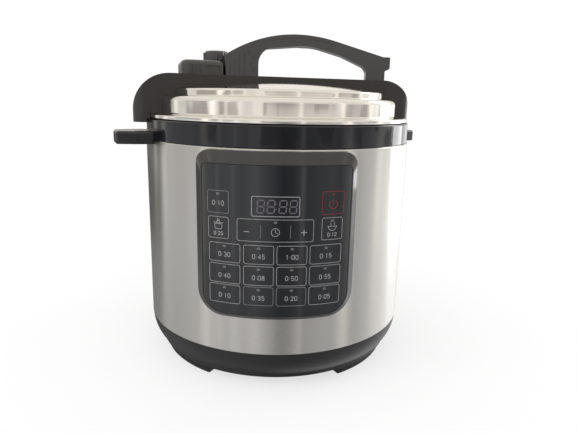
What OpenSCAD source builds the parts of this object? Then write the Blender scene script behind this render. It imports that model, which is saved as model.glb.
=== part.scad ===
// Six litre electric pressure cooker, in millimetres.
// The origin is on the body's axis at floor level, +Z is up and the control panel faces -Y.

/* [Body] */
// Outside radius of the steel drum
drum_r = 130.7; // [125:0.1:145]
// Thickness of the drum's steel sheet
drum_wall = 0.8; // [0.6:0.1:1.5]
// Height of the drum's lower edge above the floor
drum_z = 36; // [34:1:44]
// Width of the drum's inward top flange
drum_flange = 4; // [3:0.5:5]
// Radius of the curve at the foot of the base skirt
skirt_curve = 32; // [26:1:32]
// Wall of the moulded base skirt
skirt_wall = 2.5; // [2:0.1:3.5]
// Height of the spigot that enters the drum
spigot_h = 8; // [5:1:12]
// Height of the four feet
foot_h = 8.4; // [6:0.2:10]
// Radial width of a foot
foot_w = 18; // [12:1:24]
// Angle that one foot covers
foot_angle = 33.5; // [20:0.5:40]
// Angle from the front or back to the middle of a foot
foot_turn = 48; // [42:1:50]
// Thickness of the bottom cover
cover_t = 2.6; // [2:0.1:4]

/* [Upper ring] */
// How far the black ring stands inside the drum's face
ring_step = 0.7; // [0.4:0.1:0.7]
// Height of the black ring above the drum
ring_h = 18.5; // [17:0.5:22]
// Wall of the ring
ring_wall = 2.5; // [2:0.1:2.8]
// Thickness of the ring's floor
ring_floor = 2.5; // [2:0.1:2.8]

/* [Side handles] */
// How far a handle stands out from the drum
handle_out = 29.3; // [26:0.1:40]
// Half of a handle's straight tip
handle_tip = 14; // [12:1:18]
// Size of a handle's corner chamfers
handle_chamfer = 18; // [12:1:20]
// Thickness of a handle
handle_t = 11.6; // [10:0.2:12]
// Angle by which the left handle is turned towards the front
handle_turn = 22; // [15:1:35]

/* [Control panel] */
// Half of the panel's angle round the drum
panel_angle = 30; // [28:0.5:33]
// Height of the panel's lower edge above the drum's edge
panel_rise = 33.6; // [28:0.2:40]
// Drop of the panel's upper edge below the ring
panel_drop = 2; // [1:0.5:8]
// Thickness of the panel's edge
panel_edge = 2.3; // [2:0.1:3.5]
// Stand of the panel's face above the steel
panel_stand = 5.3; // [5:0.1:7]
// Angle that a bevel at the panel's side covers
panel_bevel = 3; // [2:0.25:4]
// Width of the bevel at the panel's top
panel_bevel_top = 9.4; // [8:0.2:10]
// Width of the bevel at the panel's foot
panel_bevel_foot = 3.6; // [3:0.2:6]
// Thickness of the face sheet
face_t = 1.5; // [1.2:0.1:2]
// Width of the ledge that carries the face sheet
face_ledge = 4; // [3:0.5:5]
// Width of the display block
display_w = 40; // [34:1:44]
// Height of the display block
display_h = 18; // [14:1:20]

/* [Pressure shell and pot] */
// Air gap between the drum and the pressure shell
shell_gap = 12.4; // [12.2:0.1:12.8]
// Wall of the pressure shell
shell_wall = 1.5; // [1.2:0.1:1.8]
// Height of the shell's floor above the drum's edge
shell_rise = 8.5; // [6:0.5:9]
// Drop of the shell's top edge below the ring's top
shell_drop = 3.5; // [3:0.1:4]
// Gap round the inner pot
pot_gap = 4; // [3:0.1:5]
// Wall of the inner pot
pot_wall = 2; // [1.5:0.1:3]
// Depth of the inner pot
pot_depth = 158; // [140:1:190]
// Thickness of the inner pot's base
pot_base = 3; // [2:0.2:4]
// Thickness of the inner pot's rim
pot_rim = 2.2; // [1.6:0.1:2.6]

/* [Bayonet] */
// Number of locking lugs
lug_count = 12; // [8:1:12]
// Angle that one lug covers
lug_angle = 13; // [10:0.5:13]
// Turn of the lid between open and locked
lid_turn = 15; // [15:0.5:15]
// Thickness of the shell's lugs
shell_lug_t = 5; // [4:0.5:5.5]
// Reach of the shell's lugs
shell_lug_w = 5.3; // [4:0.1:5.3]
// Thickness of the lid's lugs
lid_lug_t = 3; // [2:0.5:3.5]

/* [Lid] */
// Thickness of the lid's steel
lid_wall = 2; // [1.5:0.1:2.2]
// Gap between the ring and the lid's skirt
skirt_gap = 2; // [1.6:0.1:2.3]
// How far the lid's rolled rim stands inside the ring's face
rim_inset = 1.8; // [1:0.1:2.2]
// Width of the flat shelf between the skirt and the lower step
shelf_w = 8.5; // [8:0.1:9]
// Height of the lower step above the rim
lid_step_h = 15.6; // [14:0.2:18]
// Distance from the lower step in to the crown's wall
crown_inset = 12.3; // [10:0.1:13]
// Height of the crown's wall
crown_wall_h = 6.7; // [5:0.1:8]
// Rise of the crown from its edge to its middle
crown_rise = 8.2; // [6:0.2:10]

/* [Lid bracket and bow] */
// How far a wing stands out from the ring
wing_out = 12; // [10:0.5:16]
// Half of a wing's width
wing_w = 18; // [17:0.5:24]
// Half of the middle strip's width
strip_w = 14; // [13:0.5:16]
// Height of the strip's top above the middle of the crown
strip_h = 5.3; // [4:0.1:8]
// Height of the wings' lower edge below the ring's top
wing_drop = 3.5; // [2:0.1:5]
// Wall of the hollow bracket
bracket_wall = 3; // [2:0.2:3.5]
// Height of the bow above the strip
bow_h = 40.7; // [38:0.5:46]
// Thickness of the bow at its middle
bow_t = 11; // [9:0.2:13]
// Half of the bow's width
bow_w = 11; // [10:0.5:12]
// Angle at which the finger opening widens towards the back
bow_draft = 20; // [10:1:24]

/* [Steam valve] */
// Height of the valve housing above the strip
valve_case_h = 13.4; // [13:0.2:16]
// Wall of the valve housing
valve_case_wall = 2.2; // [1.8:0.1:2.6]
// Radius of the steam knob
knob_r = 12; // [11:0.2:12.4]
// Height of the steam knob's cap
knob_h = 10.3; // [9:0.1:12]
// Radius of the steam pipe
pipe_r = 5; // [4:0.2:5.2]
// Radius of the float pin
float_r = 2; // [1.6:0.1:2.4]
// Travel of the float pin
float_travel = 5; // [4:0.5:5.5]

/* [Heating and sensing] */
// Radius of the heating plate
plate_r = 82; // [75:1:90]
// Height of the space under the heating plate
plate_space = 9.9; // [9:0.1:12]
// Thickness of the heating plate
plate_t = 12; // [10:1:13]
// Radius of the temperature sensor's cap
sensor_r = 12; // [10:0.5:14]
// Travel of the temperature sensor
sensor_travel = 3; // [2:0.5:4]

/* [Condensation cup] */
// Half of the cup's width
cup_w = 17.5; // [15:0.5:20]
// Depth of the cup
cup_h = 55; // [45:1:60]
// Depth of the cup from back to front
cup_depth = 11; // [9:0.5:13]
// Wall of the cup
cup_wall = 1.6; // [1.2:0.1:2]
// Direction of the cup, from +X
cup_turn = 120; // [115:1:125]

/* [Power inlet] */
// Width of the inlet's plate
inlet_w = 44; // [40:1:50]
// Height of the inlet's plate
inlet_h = 34; // [30:1:38]
// Height of the inlet's lower edge above the drum's edge
inlet_rise = 8; // [8:0.5:14]

/* [Fits] */
// Gap of a running fit
run_gap = 0.06; // [0.04:0.01:0.1]
// Gap between parts that lie near each other and move
move_gap = 0.3; // [0.3:0.05:0.5]
// Gap between parts that are fixed together
fit_gap = 0.1; // [0.1:0.05:0.2]

/* [Hidden] */
$fn = 120;
eps = 0.01;
big = 400;

// Heights that follow from the driving sizes.
shell_z = drum_z + shell_rise;
plate_z = shell_z + shell_wall + plate_space;
plate_top = plate_z + plate_t;
pot_z = plate_top + move_gap;
pot_floor = pot_z + pot_base;
pot_top = pot_floor + pot_depth;
shell_top = pot_top - pot_rim;
shell_lug_z = shell_top - shell_lug_t;
ring_top = shell_top + shell_drop;
ring_z = ring_top - ring_h;
trough_z = ring_z + ring_floor;
panel_z = drum_z + panel_rise;
panel_top = ring_z - panel_drop;
panel_h = panel_top - panel_z;

// Radii that follow from the drum.
drum_in = drum_r - drum_wall;
ring_r = drum_r - ring_step;
ring_in = ring_r - ring_wall;
handle_reach = drum_r + handle_out;
shell_r = drum_in - shell_gap;
shell_in = shell_r - shell_wall;
pot_r = shell_in - pot_gap;
pot_rim_r = shell_r - 0.5;
lid_skirt_r = ring_in - skirt_gap;
lid_rim_r = ring_r - rim_inset;
lid_step_r = lid_skirt_r - shelf_w;
crown_r = lid_step_r - crown_inset;
wing_reach = ring_r + wing_out;

// The lid's outline, from the skirt inwards.
rim_z = ring_top + 0.5;
rim_h = 4;
shelf_z = rim_z + rim_h + 1;
step_top = shelf_z + lid_step_h;
crown_edge = step_top + crown_wall_h;
crown_top = crown_edge + crown_rise;
crown_round = 2;
step_round = 4.5;
crown_edge_r = crown_r - crown_round;
crown_ball = (pow(crown_edge_r, 2) + pow(crown_rise, 2)) / (2 * crown_rise);
lid_skirt_z = trough_z + 2.5;
lid_skirt_in = lid_skirt_r - lid_wall;
lug_pitch = 360 / lug_count;
lid_lug_in = shell_r + 1.7;

// The seal and its rack under the lid.
seal_out = lid_step_r - lid_wall - move_gap;
seal_in = pot_r - 6;
seal_z = pot_top + move_gap;
seal_h = 10;
rack_w = 3;
rack_leg_w = 2.5;

// The bracket and the bow on the lid.
strip_z = crown_top + strip_h;
wing_z = ring_top - wing_drop;
bow_mid = 18;
bow_top = strip_z + bow_h;
bow_left = 48.2 - crown_r;
bow_right = crown_r + 12.3;
wing_in = ring_r + 0.8;
flare_left = crown_r - 26.7;
flare_right = crown_r - 6.7;
screw_left = -38;
screw_right = crown_r - 8.7;
lid_screw_r = 2.5;
lid_head_r = 5;

// The steam valve.
case_left = 7.7 - crown_r;
case_right = bow_left + 12.5;
case_front = -bow_w;
case_back = 40;
valve_x = case_right - 2.2 - knob_r;
valve_y = case_back - knob_r - 0.5;
float_x = case_left + 13;
float_y = case_back - 20;
case_wall_h = 9;
case_top = strip_z + valve_case_h;
knob_z = case_top + 1;
knob_top = knob_z + knob_h;
pipe_top = case_top - 2;
weight_r = pipe_r + 1.6;
hub_r = weight_r + 2;
nut_r = 10.5;

// The inlet and the cup.
inlet_y = drum_r + panel_stand;
inlet_z = drum_z + inlet_rise;
pin_z = inlet_z + inlet_h / 2;
cup_in = drum_r + 3.3;
cup_reach = cup_in + cup_depth;
cup_top = ring_z - 27;
cup_z = cup_top - cup_h;

// The boards.
board_t = 1.6;
board_y = shell_r + 1.1;
board_front = board_y + board_t;
power_z = foot_h + cover_t + 9;
power_w = 104;
power_d = 84;

// Keys: columns are distances round the face and rows are heights on it.
face_r = drum_r + panel_stand;
face_z = panel_z + panel_bevel_foot;
face_top = panel_top - panel_bevel_top;
face_angle = panel_angle - panel_bevel;
window_angle = face_angle - face_ledge / face_r * 57.3;
board_w = 2 * (face_r * sin(window_angle) - 6.15);
board_screw_x = board_w / 2 - 5;
key_cols = [-42.9, -14, 13.1, 41.8];
key_rows = [18.1, 35.8, 54];
side_key_rows = [74.6, 95.8];
key_stretch = (face_top - face_z) / 127.4;
wide_key_cols = [-22, 0, 22];
display_mid = 94.1;
board_low = face_z + 9;
ribbon_x = board_w / 2 - 28;

// Points along an arc about a centre.
function arc(centre, r, from, to, steps) =
    [for (i = [0:steps]) let (a = from + (to - from) * i / steps) centre + r * [cos(a), sin(a)]];

// Turn from one angle to another by the shorter way.
function short_turn(from, to) =
    (to - from > 180) ? to - from - 360 :
    (to - from < -180) ? to - from + 360 : to - from;

// One corner of an outline, rounded between its two neighbours.
function corner(before, at, after, r, steps) =
    let (u = (before - at) / norm(before - at),
         v = (after - at) / norm(after - at),
         half = acos(u * v) / 2,
         centre = at + (u + v) / norm(u + v) * r / sin(half),
         first = at + u * r / tan(half) - centre,
         last = at + v * r / tan(half) - centre,
         from = atan2(first[1], first[0]))
    r == 0 ? [at] : arc(centre, r, from, from + short_turn(from, atan2(last[1], last[0])), steps);

// An outline whose corners are [x, y, radius].
function rounded(corners, steps = 6) =
    let (n = len(corners), xy = [for (c = corners) [c[0], c[1]]])
    [for (i = [0:n - 1]) each corner(xy[(i + n - 1) % n], xy[i], xy[(i + 1) % n], corners[i][2], steps)];

// A pipe between two heights.
module tube(outer, inner, low, high) {
    difference() {
        translate([0, 0, low]) cylinder(r = outer, h = high - low);
        translate([0, 0, low - 1]) cylinder(r = inner, h = high - low + 2);
    }
}

// A round bar between two heights at a place in plan.
module bar(x, y, r, low, high) {
    translate([x, y, low]) cylinder(r = r, h = high - low);
}

// An upright block between two opposite corners.
module block(low, high) {
    translate(low) cube(high - low);
}

// A slice of everything within an angle on each side of a direction.
module slice(direction, half) {
    rotate([0, 0, direction]) translate([0, 0, -1])
        linear_extrude(big)
            polygon([[0, 0], big * [cos(half), -sin(half)], big * [1, 0], big * [cos(half), sin(half)]]);
}

// A side outline drawn in X and Z, given a thickness across Y.
module side_slab(front, back) {
    translate([0, back, 0]) rotate([90, 0, 0]) linear_extrude(back - front) children();
}

// A bar along the direction of a radius at a height, from one distance to another.
module radial_bar(direction, shift, z, r, from, to) {
    rotate([0, 0, direction]) translate([from, shift, z]) rotate([0, 90, 0]) cylinder(r = r, h = to - from);
}

// A tube swept along points; the first and last points keep their own direction.
module swept(path, r, sides = 8) {
    n = len(path);
    dirs = [for (i = [0:n - 1]) let (d = path[min(i + 1, n - 1)] - path[max(i - 1, 0)]) d / norm(d)];
    rings = [for (i = [0:n - 1])
        let (d = dirs[i],
             side = abs(d[2]) > 0.9 ? cross(d, [1, 0, 0]) : cross(d, [0, 0, 1]),
             u = side / norm(side),
             v = cross(d, u))
        for (k = [0:sides - 1]) path[i] + r * (cos(360 * k / sides) * u + sin(360 * k / sides) * v)];
    walls = [for (i = [0:n - 2], k = [0:sides - 1])
        [i * sides + k, i * sides + (k + 1) % sides, (i + 1) * sides + (k + 1) % sides, (i + 1) * sides + k]];
    ends = [[for (k = [sides - 1:-1:0]) k], [for (k = [0:sides - 1]) (n - 1) * sides + k]];
    polyhedron(rings, concat(walls, ends), 4);
}

// A smooth path through corners, each cut back and rounded.
function smooth(points, cut, steps = 5) =
    let (n = len(points))
    concat([points[0]],
        [for (i = [1:n - 2])
            let (a = points[i - 1], p = points[i], b = points[i + 1],
                 first = p + (a - p) / norm(a - p) * cut,
                 last = p + (b - p) / norm(b - p) * cut)
            for (k = [0:steps]) let (t = k / steps, u = 1 - t) u * u * first + 2 * t * u * p + t * t * last],
        [points[n - 1]]);

// ---- Base ----

skirt_r = drum_r - 0.4;
curve_r = skirt_r - skirt_curve;
curve_z = drum_z - 1;
lip_h = 3.6;
lip_angle = asin((curve_z - foot_h - lip_h) / skirt_curve);
lip_r = curve_r + skirt_curve * cos(lip_angle);
cover_r = lip_r - skirt_wall - fit_gap;
flange_z = foot_h + cover_t;
boss_r = cover_r - 14;
foot_out = cover_r - 1.3;

module base_skirt() {
    color([0.03, 0.03, 0.032]) difference() {
        rotate_extrude() polygon(concat(
            [[lip_r, foot_h]],
            arc([curve_r, curve_z], skirt_curve, -lip_angle, 0, 12),
            [[skirt_r, drum_z], [drum_in - fit_gap, drum_z], [drum_in - fit_gap, drum_z + spigot_h],
             [drum_in - fit_gap - skirt_wall, drum_z + spigot_h], [drum_in - fit_gap - skirt_wall, curve_z]],
            arc([curve_r, curve_z], skirt_curve - skirt_wall - 0.6, 0, -lip_angle + 2, 12),
            [[boss_r - 8, flange_z + skirt_wall + 1.5], [boss_r - 8, flange_z],
             [lip_r - skirt_wall, flange_z], [lip_r - skirt_wall, foot_h]]));
        for (i = [0:3]) rotate([0, 0, 90 * i]) bar(boss_r, 0, 1.6, flange_z - 1, flange_z + 30);
    }
}

module bottom_cover() {
    vent_rows = 7;
    color([0.05, 0.05, 0.052]) difference() {
        bar(0, 0, cover_r, foot_h, foot_h + cover_t);
        for (i = [0:3]) rotate([0, 0, 90 * i]) bar(boss_r, 0, 2.1, foot_h - 1, foot_h + 10);
        for (i = [0:vent_rows - 1]) {
            y = 8 * (i - (vent_rows - 1) / 2);
            block([-32, y - 1.5, foot_h - 1], [32, y + 1.5, foot_h + cover_t + 1]);
        }
    }
    color([0.05, 0.05, 0.052]) for (x = [-1, 1], y = [-1, 1])
        bar(x * (power_w / 2 - 6), y * (power_d / 2 - 6), 3.5, foot_h + cover_t, power_z);
}

module bottom_screws() {
    color("silver") for (i = [0:3]) rotate([0, 0, 90 * i]) {
        bar(boss_r, 0, 4, foot_h - 1.8, foot_h);
        bar(boss_r, 0, 1.6 - fit_gap / 2, foot_h, flange_z + skirt_wall + 1);
    }
}

module feet() {
    color([0.02, 0.02, 0.02]) for (side = [0, 180], turn = [-foot_turn, foot_turn])
        intersection() {
            tube(foot_out, foot_out - foot_w, 0, foot_h);
            slice(90 + side + turn, foot_angle / 2);
        }
}

// ---- Drum and ring ----

module window_outline(grow) {
    half = face_r * sin(window_angle) - 1 + grow;
    low = face_z + face_ledge - grow;
    high = face_top - face_ledge + grow;
    polygon(rounded([[-half, low, 15], [half, low, 15], [half, high, 5], [-half, high, 5]]));
}

sleeve_t = 2;

module steel_drum() {
    color([0.78, 0.78, 0.78]) difference() {
        union() {
            tube(drum_r, drum_in, drum_z, ring_z);
            tube(drum_in + eps, drum_in - drum_flange, ring_z - drum_wall, ring_z);
        }
        side_slab(-drum_r - 10, -40) window_outline(sleeve_t + fit_gap);
        block([-inlet_body_w - fit_gap, 40, pin_z - inlet_body_h - fit_gap],
            [inlet_body_w + fit_gap, drum_r + 10, pin_z + inlet_body_h + fit_gap]);
    }
}

ring_spigot = drum_in - drum_flange - fit_gap;
ring_screw_r = (shell_r + ring_spigot - skirt_wall) / 2;

module upper_ring() {
    color([0.02, 0.02, 0.022]) difference() {
        rotate_extrude() polygon([[shell_r + 0.8, ring_z], [ring_spigot - skirt_wall, ring_z],
            [ring_spigot - skirt_wall, ring_z - spigot_h], [ring_spigot, ring_z - spigot_h],
            [ring_spigot, ring_z],
            [ring_r, ring_z], [ring_r, ring_top - 1], [ring_r - 1, ring_top], [ring_in, ring_top],
            [ring_in, trough_z], [shell_r + 0.8, trough_z]]);
        for (i = [0:5]) rotate([0, 0, 60 * i]) bar(ring_screw_r, 0, 1.6, ring_z - 1, trough_z + 1);
        for (turn = [handle_turn, handle_turn + 180], s = [-1, 1])
            radial_bar(turn, s * 10, handle_screw_z, 1.6, ring_in - 5, ring_r + 5);
        radial_bar(cup_turn, 0, drain_z, drain_r, ring_in - 5, ring_r + 5);
    }
}

drain_r = 2;
drain_z = trough_z + drain_r + 0.4;

module ring_screws() {
    color("silver") for (i = [0:5]) rotate([0, 0, 60 * i]) {
        bar(ring_screw_r, 0, 2.6, trough_z, trough_z + 1.2);
        bar(ring_screw_r, 0, 1.6 - fit_gap / 2, ring_z - collar_t - 1, trough_z);
    }
}

// ---- Side handles ----

handle_top = ring_z + 8;
handle_z = handle_top - handle_t;
handle_screw_z = trough_z + 2.9;
handle_neck = handle_tip + 6;

module side_handle(direction) {
    color([0.02, 0.02, 0.022]) rotate([0, 0, direction]) difference() {
        translate([0, 0, handle_z]) linear_extrude(handle_t)
            polygon(rounded([[ring_r - 12, -handle_neck, 0], [handle_reach - handle_chamfer, -handle_neck, 5],
                [handle_reach, -handle_tip, 3], [handle_reach, handle_tip, 3],
                [handle_reach - handle_chamfer, handle_neck, 5], [ring_r - 12, handle_neck, 0]]));
        bar(0, 0, drum_r + fit_gap, handle_z - 1, ring_z + fit_gap);
        bar(0, 0, ring_r, handle_z - 1, handle_top + 1);
        for (s = [-1, 1]) radial_bar(0, s * 10, handle_screw_z, 1.6, ring_r - 5, ring_r + 12);
        for (s = [-1, 0, 1])
            block([drum_r + 3, s * 8 - 3, handle_z - 1], [handle_reach - 5, s * 8 + 3, handle_z + 3.2]);
    }
}

module side_handle_left() {
    side_handle(180 + handle_turn);
}

module side_handle_right() {
    side_handle(handle_turn);
}

module handle_screws() {
    color("silver") for (turn = [handle_turn, handle_turn + 180], s = [-1, 1]) {
        radial_bar(turn, s * 10, handle_screw_z, 2.4, ring_in - 1.5, ring_in - 0.65);
        radial_bar(turn, s * 10, handle_screw_z, 1.6 - fit_gap / 2, ring_in - 1, ring_r + 10);
    }
}

// ---- Control panel ----

module panel_body(low_r) {
    intersection() {
        rotate_extrude() polygon([[low_r, panel_z], [drum_r + panel_edge, panel_z], [face_r, face_z],
            [face_r, face_top], [drum_r + panel_edge, panel_top], [low_r, panel_top]]);
        rotate([0, 0, -90]) translate([0, 0, panel_z - 1]) linear_extrude(panel_h + 2)
            polygon([[0, 0], (drum_r + panel_edge) * [cos(panel_angle), -sin(panel_angle)],
                face_r * [cos(face_angle), -sin(face_angle)], [big, -face_r * sin(face_angle)],
                [big, face_r * sin(face_angle)], face_r * [cos(face_angle), sin(face_angle)],
                (drum_r + panel_edge) * [cos(panel_angle), sin(panel_angle)]]);
    }
}

module face_outline(inset) {
    half = face_r * sin(face_angle) - inset;
    polygon(rounded([[-half, face_z + inset, 18], [half, face_z + inset, 18],
        [half, face_top - inset, 5], [-half, face_top - inset, 5]]));
}

// The four places where the control board is screwed to the frame.
module board_corners() {
    for (x = [-1, 1], z = [face_z + 12, face_top - 12]) translate([x * board_screw_x, -board_front, z])
        rotate([90, 0, 0]) children();
}

module panel_frame() {
    reach = face_r + 5;
    half = (drum_r + panel_edge) * sin(panel_angle);
    arm = face_r * sin(window_angle) - board_screw_x;
    color([0.02, 0.02, 0.022]) difference() {
        union() {
            difference() {
                union() {
                    intersection() {
                        panel_body(drum_r);
                        side_slab(-reach, -40) polygon(rounded([[-half, panel_z, 22], [half, panel_z, 22],
                            [half, panel_top, 11], [-half, panel_top, 11]]));
                    }
                    intersection() {
                        tube(drum_r + 1, drum_in - 2, panel_z, panel_top);
                        side_slab(-reach, -40) window_outline(sleeve_t);
                    }
                }
                side_slab(-reach, -40) window_outline(0);
            }
            intersection() {
                board_corners() {
                    cylinder(r = 4, h = 20);
                }
                bar(0, 0, face_r - face_t, panel_z, panel_top);
            }
            for (s = [-1, 1], z = [face_z + 12, face_top - 12]) intersection() {
                block([s > 0 ? board_screw_x : -board_screw_x - arm, -reach, z - 4],
                    [s > 0 ? board_screw_x + arm : -board_screw_x, -board_front, z + 4]);
                bar(0, 0, face_r - face_t, panel_z, panel_top);
            }
        }
        intersection() {
            tube(face_r + 5, face_r - face_t, panel_z, panel_top);
            side_slab(-reach, -40) face_outline(0);
            slice(-90, face_angle);
        }
        board_corners() translate([0, 0, -1]) cylinder(r = 1.1, h = 8);
    }
}

module panel_face() {
    color([0.05, 0.05, 0.055]) intersection() {
        tube(face_r, face_r - face_t, panel_z, panel_top);
        side_slab(-face_r - 5, -40) face_outline(fit_gap);
        slice(-90, face_angle - 0.05);
    }
}

module display_block() {
    low = face_z + display_mid - display_h / 2;
    color([0.15, 0.15, 0.16]) intersection() {
        block([-display_w / 2, -face_r, low], [display_w / 2, -board_front, low + display_h]);
        bar(0, 0, face_r - face_t - fit_gap, panel_z, panel_top);
    }
}

module control_board() {
    color([0.05, 0.3, 0.15]) difference() {
        block([-board_w / 2, -board_front, board_low], [board_w / 2, -board_y, face_top - 5]);
        board_corners() translate([0, 0, -board_t - 1]) cylinder(r = 1.4, h = 8);
    }
}

// One contact spring between the board and the back of the face.
module touch_spring(across, up) {
    x = face_r * sin(across / face_r * 57.3);
    z = face_z + up * key_stretch;
    difference() {
        translate([x, -board_front, z]) rotate([90, 0, 0]) cylinder(r = 3.2, h = 25, $fn = 32);
        translate([x, -board_front + 1, z]) rotate([90, 0, 0]) cylinder(r = 2.4, h = 30, $fn = 32);
    }
}

module touch_springs() {
    color("gold") intersection() {
        union() {
            for (c = key_cols, r = key_rows) touch_spring(c, r);
            for (c = [key_cols[0] - 5, key_cols[3] + 5], r = side_key_rows) touch_spring(c, r);
            for (c = wide_key_cols) touch_spring(c, side_key_rows[0]);
        }
        bar(0, 0, face_r - face_t, panel_z, panel_top);
    }
}

module board_screws() {
    color("silver") board_corners() {
        translate([0, 0, -board_t - 1]) cylinder(r = 2.2, h = 1);
        translate([0, 0, -board_t]) cylinder(r = 1.1 - fit_gap / 2, h = 5);
    }
}

// ---- Pressure shell, heating and sensing ----

collar_t = 2.5;
collar_r = ring_spigot - skirt_wall - fit_gap;
post_r = 55;
sensor_hole = 22;

module shell_lugs(direction) {
    for (i = [0:lug_count - 1]) rotate([0, 0, direction + lug_pitch * i]) children();
}

module pressure_shell() {
    color([0.7, 0.7, 0.71]) difference() {
        union() {
            tube(shell_r, shell_in, shell_z, shell_top);
            bar(0, 0, shell_r, shell_z, shell_z + shell_wall);
            tube(collar_r, shell_r - eps, ring_z - collar_t, ring_z);
            shell_lugs(0) intersection() {
                tube(shell_r + shell_lug_w, shell_r - eps, shell_lug_z, shell_top);
                slice(0, lug_angle / 2);
            }
        }
        bar(0, 0, sensor_hole, shell_z - 1, shell_z + 5);
        for (i = [0:5]) rotate([0, 0, 60 * i]) bar(ring_screw_r, 0, 1.6, ring_z - collar_t - 1, ring_z + 1);
        for (i = [0:2]) rotate([0, 0, 120 * i + 30]) bar(post_r, 0, 2.6, shell_z - 1, shell_z + 5);
        for (x = [-1, 1]) bar(x * heater_x, -heater_y, 6, shell_z - 1, shell_z + 5);
    }
}

heater_x = 12;
element_r = 62;
heater_y = element_r - 1;
element_t = 3.2;

module heating_plate() {
    color([0.72, 0.72, 0.72]) difference() {
        rotate_extrude() polygon([[sensor_r + 0.5, plate_z], [element_r - 8, plate_z], [plate_r, plate_z + 5],
            [plate_r, plate_top - 1.5], [plate_r - 6, plate_top], [sensor_r + 0.5, plate_top]]);
        rotate_extrude() translate([element_r, plate_z + 1.6]) circle(r = element_t, $fn = 32);
        for (x = [-1, 1]) bar(x * heater_x, -heater_y, element_t + 0.6, plate_z - 5, plate_z + 7);
        for (i = [0:2]) rotate([0, 0, 120 * i + 30]) bar(post_r - 10, 0, 2.5, plate_z - 1, plate_z + 6);
    }
}

module heating_element() {
    color([0.45, 0.42, 0.4]) union() {
        difference() {
            rotate_extrude() translate([element_r, plate_z + 1.6]) circle(r = element_t - fit_gap, $fn = 32);
            slice(-90, 10);
        }
        for (x = [-1, 1]) bar(x * heater_x, -heater_y, element_t - fit_gap, plate_z - 6, plate_z + 1.6);
    }
}

module plate_posts() {
    color("silver") for (i = [0:2]) rotate([0, 0, 120 * i + 30]) {
        bar(post_r - 10, 0, 4, shell_z + shell_wall, plate_z);
        bar(post_r - 10, 0, 2.4, plate_z, plate_z + 5.5);
    }
}

stem_r = 4;
cap_h = 5;
spring_solid = 6;
guide_top = plate_top - cap_h - sensor_travel - spring_solid;

module sensor_cap() {
    color([0.75, 0.75, 0.75]) union() {
        bar(0, 0, sensor_r, plate_top - cap_h, plate_top);
        bar(0, 0, stem_r, guide_top - 12, plate_top - cap_h + eps);
    }
}

module sensor_spring() {
    coils = 5;
    steps = 12;
    low = guide_top + 0.9;
    high = plate_top - cap_h - 0.9;
    path = [for (i = [0:coils * steps]) let (a = 360 * i / steps, t = i / (coils * steps))
        [(stem_r + 2.6) * cos(a), (stem_r + 2.6) * sin(a), low + (high - low) * t]];
    color([0.6, 0.6, 0.62]) swept(path, 0.7, 6);
}

module sensor_guide() {
    color([0.85, 0.83, 0.78]) difference() {
        union() {
            bar(0, 0, sensor_r - 1, guide_top - 8, guide_top);
            bar(0, 0, sensor_hole + 6, shell_z - 2, shell_z);
            bar(0, 0, sensor_hole - 4, shell_z - 2, guide_top - 4);
        }
        bar(0, 0, stem_r + run_gap, shell_z - 10, guide_top + 5);
    }
}

fuse_y = 34;

module thermal_fuse() {
    color([0.8, 0.78, 0.7]) {
        translate([-12, fuse_y, plate_z - 2.4]) rotate([0, 90, 0]) cylinder(r = 2.4, h = 24, $fn = 32);
        block([-4, fuse_y - 5, plate_z - 5.6], [4, fuse_y + 5, plate_z - 4.8]);
    }
}

module pressure_switch() {
    color([0.9, 0.88, 0.8]) {
        block([-72, -12, shell_z - 16], [-50, 12, shell_z - 2]);
        bar(-61, 0, 2.5, shell_z - 2, shell_z);
    }
}

// ---- Power board and wiring ----

module power_board() {
    color([0.75, 0.6, 0.3]) difference() {
        block([-power_w / 2, -power_d / 2, power_z], [power_w / 2, power_d / 2, power_z + board_t]);
        for (x = [-1, 1], y = [-1, 1])
            bar(x * (power_w / 2 - 6), y * (power_d / 2 - 6), 1.5, power_z - 1, power_z + 5);
    }
}

module board_parts() {
    top = power_z + board_t;
    color([0.1, 0.2, 0.5]) block([-40, -20, top], [-21, -4, top + 10]);
    color([0.8, 0.7, 0.2]) block([-12, -34, top], [14, -12, top + 9]);
    color([0.15, 0.15, 0.15]) block([22, 12, top], [40, 28, top + 9]);
    color([0.1, 0.1, 0.1]) bar(34, -20, 6, top, top + 10);
    color([0.9, 0.9, 0.88]) block([-38, 24, top], [-8, 34, top + 9]);
}

inlet_body_w = 15;
inlet_body_h = 11;
socket_w = 12.3;
socket_h = 8.2;
inlet_back = shell_r + 1.4;

module power_inlet() {
    color([0.03, 0.03, 0.03]) difference() {
        union() {
            difference() {
                side_slab(drum_r - 25, inlet_y) translate([0, pin_z]) polygon(rounded([
                    [-inlet_w / 2, -inlet_h / 2, 5], [inlet_w / 2, -inlet_h / 2, 5],
                    [inlet_w / 2, inlet_h / 2, 5], [-inlet_w / 2, inlet_h / 2, 5]]));
                bar(0, 0, drum_r, 0, ring_z);
            }
            block([-inlet_body_w, inlet_back, pin_z - inlet_body_h],
                [inlet_body_w, drum_r + 1, pin_z + inlet_body_h]);
        }
        side_slab(inlet_back + 2, inlet_y + 1) translate([0, pin_z]) polygon([[-socket_w, -socket_h],
            [socket_w, -socket_h], [socket_w, socket_h - 4], [socket_w - 4, socket_h],
            [4 - socket_w, socket_h], [-socket_w, socket_h - 4]]);
        for (p = pin_places) block([p[0] - 1 - fit_gap, inlet_back - 1, pin_z + p[1] - 2 - fit_gap],
            [p[0] + 1 + fit_gap, inlet_back + 3, pin_z + p[1] + 2 + fit_gap]);
    }
}

pin_places = [[-7, -2], [0, 2], [7, -2]];

module inlet_pins() {
    color("silver") for (p = pin_places)
        block([p[0] - 1, inlet_back - 0.6, pin_z + p[1] - 2], [p[0] + 1, inlet_y - 3, pin_z + p[1] + 2]);
}

wire_top = power_z + board_t + 9;
wire_z = wire_top + 7.4;
wire_r = 1.3;

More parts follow.
